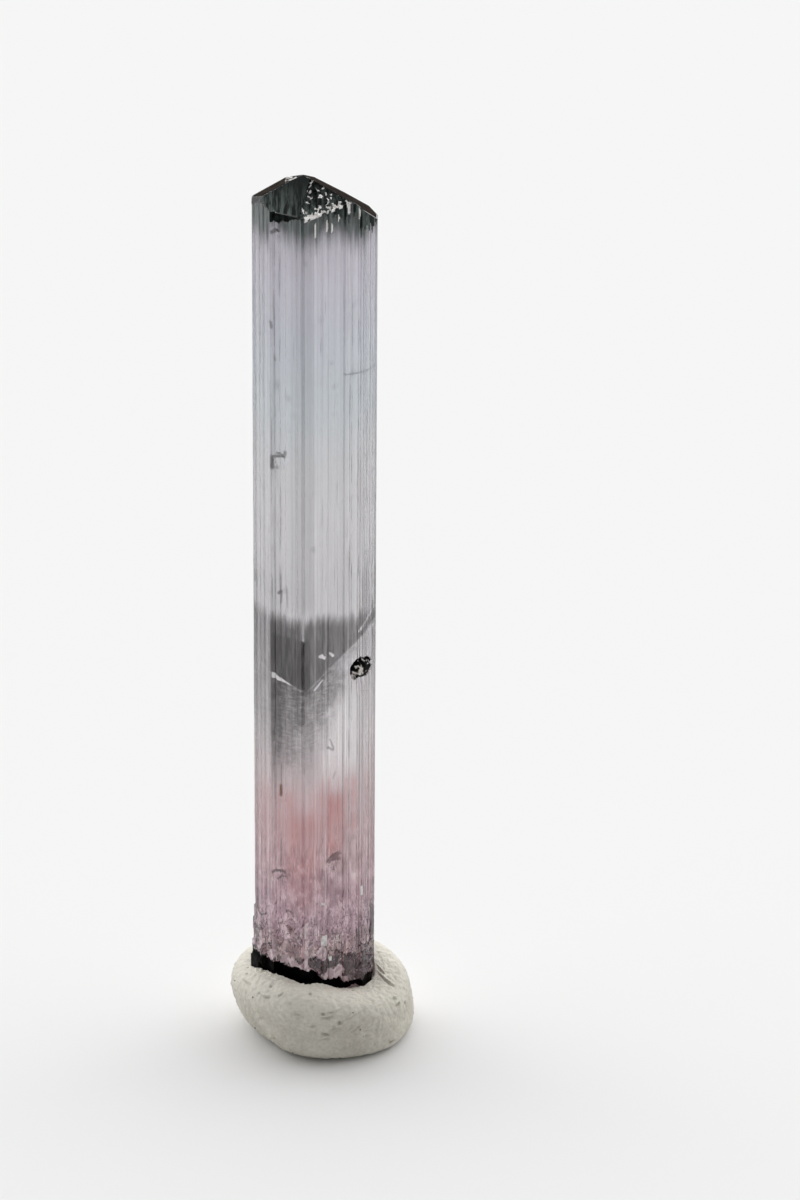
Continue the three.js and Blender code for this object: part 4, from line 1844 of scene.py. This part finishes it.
@dataclass(frozen=True)
class TourmalineFinish:
    """Clear streaked tourmaline with its colour zones, places in millimetres."""

    refraction: float = 1.63
    clearness: float = 0.93
    absorption: Colour = paint("E6E2EE")
    absorption_density: float = 30.0
    roughness: Run = (0.03, 0.12)
    zones: tuple[tuple[float, str], ...] = (
        (5.0, "B2939E"), (8.0, "BE9AA7"), (11.0, "C3A3A9"), (15.0, "CDB1B3"), (18.5, "D3C6C7"),
        (22.0, "DAD6D7"), (31.0, "D8D6D8"), (38.0, "DAD9DB"), (43.0, "CED5D9"), (47.5, "CBCED6"),
        (51.0, "CECAD4"), (54.0, "BAB8BF"),
    )
    zone_pace: Run = (0.9, 0.03)
    zone_wave: float = 2.5
    zone_right: Window = (0.0, 2.6, 0.0, 2.4)
    zone_right_levels: Window = (8.0, 12.0, 20.0, 24.0)
    tone_light: Window = (0.15, 0.85, 0.84, 1.0)
    streak_pace: Run = (3.2, 0.05)
    speck_gap: float = 1.7
    speck_share: float = 0.3
    mottle_size: float = 1.4
    smoke: SmokyBand = SmokyBand()
    # whitish colour of the painted highlights along the grooves
    haze_and_gleam: Colour = paint("FBF9F9")
    rose: Colour = paint("B87A78")
    rose_share: Run = (0.55, 0.9)
    rose_clouds: tuple[Cloud, Cloud] = (
        Cloud((-2.0, -1.1, -0.2, 0.6), (8.5, 12.0, 15.5, 17.5)),
        Cloud((0.6, 0.9, 1.6, 2.0), (12.5, 14.0, 16.8, 18.2)),
    )
    # painted shade: darker along the front's left strip and over the lower part
    shade_clouds: tuple[Cloud, Cloud] = (
        Cloud((-2.0, -0.6, -0.05, 0.15), (29.0, 31.0, 90.0, 91.0), 0.3),
        Cloud((-2.4, -1.2, 1.8, 2.8), (6.5, 9.0, 13.0, 17.0), 0.32),
    )
    shade_front: Run = (0.6, -0.2)
    fading_pace: Run = (1.7, 0.22)
    line_middle: float = -0.1
    line_edges: Window = (2.5, 2.8, 1.0, 0.4)
    line_levels: Window = (9.0, 20.0, 0.3, 1.0)
    line_fading: Window = (0.35, 0.7, 0.05, 0.42)
    gleam_fading: Window = (0.65, 0.4, 0.25, 1.0)
    gleam_hidden: Window = (18.0, 23.0, 29.0, 29.6)
    gleam_loss: float = 0.7
    ink_fading: Window = (0.3, 0.62, 0.35, 1.0)
    ink_levels: Window = (11.0, 19.0, 0.35, 1.0)
    cap_dark: Colour = paint("0B100F")
    cap_green: Colour = paint("44544E")
    cap_fade: Run = (53.2, 55.0)
    cap_streak: float = 2.6
    cap_tone: float = 1.2
    cap_left: Window = (-2.5, -2.75, 0.0, -0.7)
    cap_right: Window = (0.6, 2.6, 0.0, -0.7)
    cap_light_pace: Run = (5.5, 0.3)
    cap_light: Run = (0.42, 0.7)
    cap_light_left: Window = (0.3, -0.6, 0.35, 1.0)
    base_dark: Colour = paint("050404")
    mauve: Colour = paint("6B5157")
    blush: Colour = paint("EAD6D8")
    fleck: Colour = paint("E9E2E0")
    crumble: float = 2.4
    darkening_levels: Run = (8.5, 5.5)
    darkening_breaks: Run = (0.46, 0.64)
    darkening_left: Run = (-2.6, -2.9)
    darkening_right: Run = (2.0, 3.2)
    darkening_side: float = 0.5
    darkening_front: float = 0.12
    blotch_pace: Run = (1.5, 0.9)
    blotch_levels: Run = (16.0, 11.5)
    blotch_dark: Window = (0.5, 0.38, 0.0, 0.5)
    blotch_light: Window = (0.5, 0.62, 0.0, 0.5)
    chip_dark: Window = (0.34, 0.1, 0.0, 0.4)
    chip_light: Window = (0.66, 0.9, 0.0, 0.5)
    fleck_reach: Run = (0.16, 0.1)
    fleck_levels: Window = (5.8, 6.6, 10.0, 11.5)
    fleck_share: float = 0.8
    mark_front: Run = (0.3, 0.0)
    strokes: tuple[Stroke, ...] = (
        Stroke((1.82, 45.18), (3.57, 45.04), 0.09, 0.6),
        Stroke((-2.49, 39.95), (-2.49, 39.25), 0.18, 0.95),
        Stroke((-2.47, 39.95), (-1.8, 40.12), 0.15, 0.9),
        Stroke((-1.8, 40.1), (-1.7, 40.45), 0.15, 0.85),
        Stroke((-2.4, 39.27), (-2.2, 39.3), 0.1, 0.5),
        Stroke((-1.92, 31.25), (-1.97, 30.5), 0.09, 0.7),
        Stroke((-2.12, 31.1), (-1.95, 31.28), 0.14, 0.9),
        Stroke((-2.0, 17.5), (-2.0, 18.15), 0.14, 1.0, "4A2816"),
        Stroke((-2.55, 12.02), (-2.17, 12.25), 0.15, 0.9),
        Stroke((-2.17, 12.25), (-1.78, 12.14), 0.13, 0.9),
        Stroke((-2.2, 11.66), (-2.0, 11.78), 0.12, 0.85),
        Stroke((-2.0, 11.78), (-1.68, 11.88), 0.1, 0.75),
        Stroke((0.88, 12.95), (1.45, 13.3), 0.27, 0.9, "3A2024"),
        Stroke((1.0, 12.9), (1.5, 12.95), 0.2, 0.9, "3A2024"),
        Stroke((0.95, 21.3), (1.2, 20.6), 0.09, 0.6),
        Stroke((0.85, 20.75), (1.15, 20.55), 0.12, 0.7),
        Stroke((1.3, 19.0), (1.15, 18.6), 0.08, 0.5),
        Stroke((-2.45, 54.3), (-2.1, 54.5), 0.18, 0.9),
        Stroke((-2.3, 46.4), (-2.28, 46.2), 0.1, 0.6),
        Stroke((-2.56, 48.6), (-2.5, 48.3), 0.14, 0.8),
        Stroke((-0.75, 24.72), (-0.3, 24.8), 0.18, 0.8),
        Stroke((-2.62, 26.6), (-2.5, 25.9), 0.16, 0.8),
        Stroke((-2.55, 24.6), (-2.1, 24.5), 0.12, 0.5),
        Stroke((-0.65, 29.9), (-0.64, 28.3), 0.12, 0.25, "FBF9F9"),
        Stroke((0.4, 27.05), (0.62, 26.9), 0.15, 0.8, "FBF9F9"),
        Stroke((0.98, 27.1), (1.15, 26.9), 0.11, 0.7, "FBF9F9"),
        Stroke((2.7, 28.1), (3.6, 29.3), 0.09, 0.6, "FBF9F9"),
        Stroke((0.5, 25.4), (0.05, 24.9), 0.09, 0.5, "FBF9F9"),
    )

    def material(self, crystal: Crystal, speckle: NodeTree) -> Material:
        """Make the material.

        Args:
            crystal: The crystal that wears it, for its heights.
            speckle: The shared speckle group.

        Returns:
            The material.
        """
        material, graph, shader = new_material("tourmaline")
        place = place_in_mm(graph)
        spot = graph.split(place)
        tone = self.mark(graph, "tone")
        streak = streaks(graph, spot, *self.streak_pace)
        specks, mottle = speckled(graph, speckle, place, self.speck_gap, self.mottle_size)
        colour = self.zoned(graph, crystal, spot, tone)
        # painted shade along the front's left strip and over the lower part
        colour = graph.mix(1.0, colour, self.shaded(graph, spot), "MULTIPLY")
        colour = self.smoke.laid(graph, colour, spot, streak, mottle)
        colour = self.rosy(graph, colour, spot, mottle)
        colour = self.lined(graph, colour, spot)
        colour = self.dark_cap(graph, colour, spot, streak, tone)
        colour = self.broken_base(graph, colour, place, spot)
        colour = self.marked(graph, colour, spot)
        colour = graph.mix(graph.product(specks, self.speck_share), colour, self.base_dark)
        graph.feed(shader.inputs["Base Color"], colour)
        graph.feed(shader.inputs["Roughness"], graph.blend(tone, 0.0, 1.0, *self.roughness))
        shader.inputs["IOR"].default_value = self.refraction
        shader.inputs["Transmission Weight"].default_value = self.clearness
        inside = graph.add("ShaderNodeVolumeAbsorption")
        inside.inputs["Color"].default_value = self.absorption
        inside.inputs["Density"].default_value = self.absorption_density
        output = next(n for n in material.node_tree.nodes if n.type == "OUTPUT_MATERIAL")
        graph.feed(output.inputs["Volume"], inside.outputs[0])
        return material

    def mark(self, graph: Graph, name: str) -> Socket:
        """Read a value that the crystal's mesh carries."""
        return graph.add("ShaderNodeAttribute", attribute_name=name).outputs["Fac"]

    def zoned(self, graph: Graph, crystal: Crystal, spot: Spot, tone: Value) -> Socket:
        """Give the colour zones from the base to the cap, wavy, and lower down at the right.

        Args:
            graph: The graph.
            crystal: The crystal, for its heights.
            spot: The place in millimetres.
            tone: The tone of each growth strip.

        Returns:
            The colour.
        """
        x, _, z = spot
        low, high = crystal.low[2], crystal.high[2]
        wave = graph.minus(streaks(graph, spot, *self.zone_pace), 0.5)
        right = graph.product(graph.blend(x, *self.zone_right), graph.window(z, *self.zone_right_levels))
        level = graph.plus(graph.plus(z, graph.product(wave, self.zone_wave)), right)
        share = graph.math("DIVIDE", graph.minus(level, low), high - low)
        stops = [((height - low) / (high - low), paint(code)) for height, code in self.zones]
        return graph.mix(1.0, graph.ramp(share, stops), graph.blend(tone, *self.tone_light), "MULTIPLY")

    def shaded(self, graph: Graph, spot: Spot) -> Socket:
        """Give the light left by the painted shade along the front's left strip and over the lower part."""
        painted_shade = graph.larger(*(cloud.mask(graph, spot) for cloud in self.shade_clouds))
        return graph.minus(1.0, graph.product(painted_shade, graph.blend(spot[1], *self.shade_front)))

    def rosy(self, graph: Graph, colour: Value, spot: Spot, mottle: Value) -> Socket:
        """Lay two rose clouds over the lower part.

        Args:
            graph: The graph.
            colour: The colour so far.
            spot: The place in millimetres.
            mottle: Soft mottling.

        Returns:
            The colour with the clouds.
        """
        cloud = graph.larger(*(cloud.mask(graph, spot) for cloud in self.rose_clouds))
        share = graph.product(cloud, graph.blend(mottle, 0.0, 1.0, *self.rose_share))
        return graph.mix(share, colour, self.rose)

    def lined(self, graph: Graph, colour: Value, spot: Spot) -> Socket:
        """Draw the light lines, painted highlights, and the dark lines along the crystal, each fading here
        and there.

        Args:
            graph: The graph.
            colour: The colour so far.
            spot: The place in millimetres.

        Returns:
            The colour with the lines.
        """
        x, _, z = spot
        line, ink, gleam = (self.mark(graph, name) for name in ("line", "ink", "gleam"))
        fading = streaks(graph, spot, *self.fading_pace)
        beside = graph.math("ABSOLUTE", graph.minus(x, self.line_middle))
        plain = graph.product(graph.blend(beside, *self.line_edges), graph.blend(z, *self.line_levels))
        thin = graph.product(line, graph.blend(fading, *self.line_fading), plain)
        # painted highlights: light lines along some grooves
        clear = graph.minus(1.0, graph.product(graph.window(z, *self.gleam_hidden), self.gleam_loss))
        light = graph.product(gleam, clear, graph.blend(fading, *self.gleam_fading))
        broad = graph.product(ink, graph.blend(fading, *self.ink_fading), graph.blend(z, *self.ink_levels))
        return graph.mix(graph.larger(thin, broad), graph.mix(light, colour, self.haze_and_gleam), self.base_dark)

    def marked(self, graph: Graph, colour: Value, spot: Spot) -> Socket:
        """Draw the small cracks, the ragged notch and the brown needle on the front.

        Args:
            graph: The graph.
            colour: The colour so far.
            spot: The place in millimetres.

        Returns:
            The colour with the marks.
        """
        x, y, z = spot
        front = graph.blend(y, *self.mark_front)
        level = graph.combine(x, 0.0, z)
        ragged = graph.minus(graph.noise(level, 9.0, 2.0), 0.5)
        group = stroke_group()
        shares: dict[str, Socket] = {}
        for stroke in self.strokes:
            run = Vector((stroke.end[0] - stroke.start[0], 0.0, stroke.end[1] - stroke.start[1]))
            node = graph.add("ShaderNodeGroup", node_tree=group)
            graph.feed(node.inputs["Place"], level)
            graph.feed(node.inputs["Ragged"], ragged)
            node.inputs["Start"].default_value = (stroke.start[0], 0.0, stroke.start[1])
            node.inputs["Run"].default_value = run
            node.inputs["Pace"].default_value = run / run.length_squared
            node.inputs["Width"].default_value = stroke.width
            share = graph.product(node.outputs["Mask"], stroke.strength)
            if stroke.code in shares:
                share = graph.larger(share, shares[stroke.code])
            shares[stroke.code] = share
        for code, share in shares.items():
            colour = graph.mix(graph.product(share, front), colour, paint(code))
        return colour

    def dark_cap(self, graph: Graph, colour: Value, spot: Spot, streak: Value, tone: Value) -> Socket:
        """Darken the glass under the cap, greenish and streaked, with streaks that run down from it.

        Args:
            graph: The graph.
            colour: The colour so far.
            spot: The place in millimetres.
            streak: Noise drawn out along the crystal.
            tone: The tone of each growth strip.

        Returns:
            The colour with the dark top.
        """
        x, _, z = spot
        level = graph.plus(z, graph.product(graph.minus(streak, 0.5), self.cap_streak))
        level = graph.plus(level, graph.product(graph.minus(tone, 0.5), self.cap_tone))
        lower = graph.plus(graph.blend(x, *self.cap_left), graph.blend(x, *self.cap_right))
        cap = graph.blend(graph.minus(level, lower), *self.cap_fade)
        light = graph.blend(streaks(graph, spot, *self.cap_light_pace), *self.cap_light)
        light = graph.product(light, graph.blend(x, *self.cap_light_left))
        return graph.mix(cap, colour, graph.mix(light, self.cap_dark, self.cap_green))

    def broken_base(self, graph: Graph, colour: Value, place: Value, spot: Spot) -> Socket:
        """Darken the chips above the broken base here and there, blotch the lower part and fleck it.

        Args:
            graph: The graph.
            colour: The colour so far.
            place: The place in millimetres.
            spot: The same place, split in three.

        Returns:
            The colour with the darkened, blotched and flecked base.
        """
        x, y, z = spot
        crumbled = graph.noise(place, 2.2, 3.0, 0.6)
        edge = graph.plus(z, graph.product(graph.minus(crumbled, 0.5), self.crumble))
        # darker towards the base in broken patches, more at the sides than in front
        sides = graph.larger(graph.blend(x, *self.darkening_left), graph.blend(x, *self.darkening_right))
        darkening = graph.plus(graph.product(sides, self.darkening_side), self.darkening_front)
        broken = graph.blend(crumbled, *self.darkening_breaks)
        colour = graph.mix(
            graph.product(graph.blend(edge, *self.darkening_levels), broken, darkening), colour, self.base_dark
        )
        across, along = self.blotch_pace
        drawn = graph.combine(graph.product(x, across), y, graph.product(z, along))
        blotch = graph.noise(drawn, 1.0, 3.0, 0.6)
        lower = graph.blend(z, *self.blotch_levels)
        colour = graph.mix(graph.product(lower, graph.blend(blotch, *self.blotch_dark)), colour, self.mauve)
        colour = graph.mix(graph.product(lower, graph.blend(blotch, *self.blotch_light)), colour, self.blush)
        chip = self.mark(graph, "chip")
        colour = graph.mix(graph.blend(chip, *self.chip_dark), colour, self.base_dark)
        colour = graph.mix(graph.blend(chip, *self.chip_light), colour, self.fleck)
        flecks = graph.blend(graph.cells(place, 0.9), *self.fleck_reach)
        flecks = graph.product(flecks, graph.window(z, *self.fleck_levels), self.fleck_share)
        return graph.mix(flecks, colour, self.fleck)


@dataclass(frozen=True)
class OpaqueFinish:
    """An opaque mineral surface with small spots of a second colour, sizes in millimetres."""

    name: str
    colour: Colour
    spot: Colour
    spot_size: float
    gloss: float
    roughness: float
    spot_levels: Run = (0.0, 1.0)
    spot_range: Run = (0.56, 0.7)
    stretch: float = 1.0
    speck_gap: float = 0.8
    roughness_spread: float = 0.2

    def material(self, speckle: NodeTree) -> Material:
        """Make the material.

        Args:
            speckle: The shared speckle group.

        Returns:
            The material.
        """
        material, graph, shader = new_material(self.name)
        place = place_in_mm(graph)
        x, y, z = graph.split(place)
        drawn = graph.combine(x, graph.product(y, self.stretch), graph.product(z, self.stretch))
        _, mottle = speckled(graph, speckle, drawn, self.speck_gap, self.spot_size)
        spots = graph.product(graph.blend(mottle, *self.spot_range), graph.blend(z, *self.spot_levels))
        graph.feed(shader.inputs["Base Color"], graph.mix(spots, self.colour, self.spot))
        rough = graph.blend(mottle, 0.0, 1.0, self.roughness, self.roughness + self.roughness_spread)
        graph.feed(shader.inputs["Roughness"], rough)
        shader.inputs["Specular IOR Level"].default_value = self.gloss
        return material


OPAQUE = {
    Patch.CRUMB: OpaqueFinish(
        "crumbled_base", paint("C0A9B0"), paint("E2CFD4"), 0.4, 0.2, 0.45, (4.0, 5.0), (0.3, 0.7)
    ),
    # real black grain, also laid on the broken base as painted shade; its pale spots on the grain are painted
    # highlights
    Patch.BLACK: OpaqueFinish(
        "black_grain_with_painted_shade_and_highlights", paint("040303"), paint("E6E1DC"), 0.36, 0.04, 0.4, (20.0, 21.0), (0.62, 0.76)
    ),
    Patch.DULL: OpaqueFinish("dull_cap", paint("38332F"), paint("2A2726"), 0.7, 0.0, 0.5),
    Patch.DARK: OpaqueFinish(
        "black_cap", paint("191E1D"), paint("66716D"), 0.2, 0.03, 0.3, (56.9, 55.3), (0.1, 1.0), 0.12
    ),
    Patch.INK: OpaqueFinish("ink_edge", paint("0C110F"), paint("1E2523"), 0.3, 0.03, 0.3),
    # painted glints on the cap, with its frosted lower edge
    Patch.FROST: OpaqueFinish("frosted_edge_and_painted_glints", paint("F5F3F1"), paint("DEDAD8"), 0.3, 0.5, 0.25),
}


@dataclass(frozen=True)
class PuttyFinish:
    """Matte warm grey putty, paler towards the top as painted light, and darker in its pits and creases as
    painted shade.
    """

    pale: Colour = paint("DCD8CC")
    mid: Colour = paint("CCC7BB")
    # painted light: paler towards the top, where more light falls
    top_light: Colour = paint("F3EFE3")
    top_light_levels: Window = (2.4, 4.4, 0.0, 0.7)
    # dark colour for the painted shade in pits and creases, and for the real specks and grit
    deep: Colour = paint("57524A")
    grit: Colour = paint("3C352E")
    speck_gap: float = 0.9
    speck_share: float = 0.2
    mottle_size: float = 1.6
    grit_mottle: float = 0.5
    fine_light: Window = (0.35, 0.65, 0.9, 1.02)
    pit_shade: float = 0.45
    crease_shade: float = 0.25
    roughness: Run = (0.86, 0.72)
    grit_roughness: Run = (0.55, 0.85)
    bump_strength: float = 0.5
    bump_depth: float = 0.03

    def material(self, speckle: NodeTree) -> Material:
        """Make the putty's material.

        Args:
            speckle: The shared speckle group.

        Returns:
            The material.
        """
        material, graph, shader = new_material("putty")
        place = place_in_mm(graph)
        specks, mottle = speckled(graph, speckle, place, self.speck_gap, self.mottle_size)
        colour = graph.mix(mottle, self.mid, self.pale)
        # painted light: paler towards the top
        high = graph.blend(graph.split(place)[2], *self.top_light_levels)
        colour = graph.mix(high, colour, self.top_light)
        fine = graph.blend(graph.noise(place, 5.0, 4.0, 0.7), *self.fine_light)
        colour = graph.mix(1.0, colour, fine, "MULTIPLY")
        # painted shade in the pits and creases
        for mark, share in (("pitted", self.pit_shade), ("creased", self.crease_shade)):
            depth = graph.add("ShaderNodeAttribute", attribute_name=mark).outputs["Fac"]
            colour = graph.mix(graph.product(depth, share), colour, self.deep)
        colour = graph.mix(graph.product(specks, self.speck_share), colour, self.deep)
        graph.feed(shader.inputs["Base Color"], colour)
        graph.feed(shader.inputs["Roughness"], graph.blend(mottle, 0.0, 1.0, *self.roughness))
        bump = graph.add("ShaderNodeBump")
        bump.inputs["Strength"].default_value = self.bump_strength
        bump.inputs["Distance"].default_value = self.bump_depth * MM
        graph.feed(bump.inputs["Height"], graph.noise(place, 7.0, 4.0, 0.65))
        graph.feed(shader.inputs["Normal"], bump.outputs[0])
        return material

    def grit_material(self, speckle: NodeTree) -> Material:
        """Make the material of the dark grains in the putty.

        Args:
            speckle: The shared speckle group.

        Returns:
            The material.
        """
        material, graph, shader = new_material("putty_grit")
        _, mottle = speckled(graph, speckle, place_in_mm(graph), self.speck_gap, self.grit_mottle)
        graph.feed(shader.inputs["Base Color"], graph.mix(mottle, self.grit, self.deep))
        graph.feed(shader.inputs["Roughness"], graph.blend(mottle, 0.0, 1.0, *self.grit_roughness))
        return material


@dataclass
class Studio:
    """The pale floor, the soft light and the camera at the photograph's angle."""

    elevation: float = 26.0
    distance: float = 0.36
    focal_px: float = 5976.0
    roll: float = 0.4
    aim: tuple[float, float, float] = (0.00514, 0.0, 0.0295)
    floor_half: float = 3.0
    floor_colour: Colour = paint("F1F1F1")
    floor_far: Colour = paint("8C8C8C")
    pale_reach_mm: float = 230.0
    far_reach_mm: float = 520.0
    floor_roughness: float = 0.9
    floor_gloss: float = 0.1
    clip: Run = (0.01, 50.0)
    dome_base: float = 0.2
    dome_side: float = 0.6
    side_across: Run = (0.5, 0.8)
    side_depth: Run = (-0.6, 0.1)
    side_levels: Run = (0.02, 0.3)
    dome_back: float = 1.66
    back_depth: Run = (0.0, 0.5)
    back_levels: Window = (0.05, 0.2, 0.68, 0.84)
    dome_high: float = 0.85
    high_depth: Run = (-0.5, 0.1)
    high_levels: Run = (0.5, 0.65)

    def floor(self) -> Object:
        """Lay the floor that the foot stands on.

        Returns:
            The floor.
        """
        h = self.floor_half
        mesh = bpy.data.meshes.new("floor")
        mesh.from_pydata([(-h, -h, 0), (h, -h, 0), (h, h, 0), (-h, h, 0)], [], [(0, 1, 2, 3)])
        floor = bpy.data.objects.new("floor", mesh)
        bpy.context.scene.collection.objects.link(floor)
        material, graph, shader = new_material("floor_paper")
        place = place_in_mm(graph)
        far = graph.blend(graph.vector("LENGTH", place), self.pale_reach_mm, self.far_reach_mm)
        graph.feed(shader.inputs["Base Color"], graph.mix(far, self.floor_colour, self.floor_far))
        shader.inputs["Roughness"].default_value = self.floor_roughness
        shader.inputs["Specular IOR Level"].default_value = self.floor_gloss
        mesh.materials.append(material)
        return floor

    def dome(self) -> None:
        """Light the scene from behind and from both sides, and less from above and in front."""
        world = bpy.data.worlds.new("soft_dome")
        world.use_nodes = True
        bpy.context.scene.world = world
        graph = Graph(world.node_tree)
        background = next(n for n in world.node_tree.nodes if n.type == "BACKGROUND")
        x, y, z = graph.split(graph.add("ShaderNodeTexCoord").outputs["Generated"])
        behind = graph.product(graph.blend(y, *self.back_depth), graph.window(z, *self.back_levels))
        back = graph.product(behind, self.dome_back)
        beside = graph.blend(graph.math("ABSOLUTE", x), *self.side_across)
        wide = graph.product(beside, graph.blend(y, *self.side_depth))
        sides = graph.product(wide, graph.blend(z, *self.side_levels), self.dome_side)
        above = graph.product(graph.blend(y, *self.high_depth), graph.blend(z, *self.high_levels))
        high = graph.product(above, self.dome_high)
        total = graph.plus(graph.plus(back, sides), graph.plus(high, self.dome_base))
        graph.feed(background.inputs["Strength"], total)
        background.inputs["Color"].default_value = (1.0, 1.0, 1.0, 1.0)

    def camera(self) -> Object:
        """Set the camera at the photograph's viewing angle.

        Returns:
            The camera.
        """
        data = bpy.data.cameras.new("camera")
        data.sensor_width = SENSOR_MM
        data.lens = self.focal_px / IMAGE_HEIGHT_PX * SENSOR_MM
        data.clip_start, data.clip_end = self.clip
        camera = bpy.data.objects.new("camera", data)
        tilt = math.radians(self.elevation)
        back = Vector((0, -math.cos(tilt), math.sin(tilt)))
        turn = Matrix.Rotation(math.radians(90 - self.elevation), 4, "X")
        turn = turn @ Matrix.Rotation(math.radians(self.roll), 4, "Z")
        camera.matrix_world = Matrix.Translation(Vector(self.aim) + back * self.distance) @ turn
        bpy.context.scene.collection.objects.link(camera)
        bpy.context.scene.camera = camera
        return camera

    def build(self) -> None:
        """Set up the whole studio."""
        self.camera()
        self.floor()
        self.dome()
        bpy.context.scene.view_settings.view_transform = "Standard"


def main() -> None:
    """Build the studio, the crystal and its foot, and report each piece."""
    logging.basicConfig(level=logging.INFO)
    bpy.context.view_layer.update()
    Studio().build()
    speckle = speckle_group()
    crystal = Crystal()
    patches = {patch: finish.material(speckle) for patch, finish in OPAQUE.items()}
    pieces = [crystal.build(TourmalineFinish().material(crystal, speckle), patches)]
    putty = PuttyFinish()
    pieces += PuttyFoot(crystal).build(putty.material(speckle), putty.grit_material(speckle))
    for piece in pieces:
        log.info("%s: %d faces", piece.name, len(piece.data.polygons))


if __name__ == "__main__":
    main()
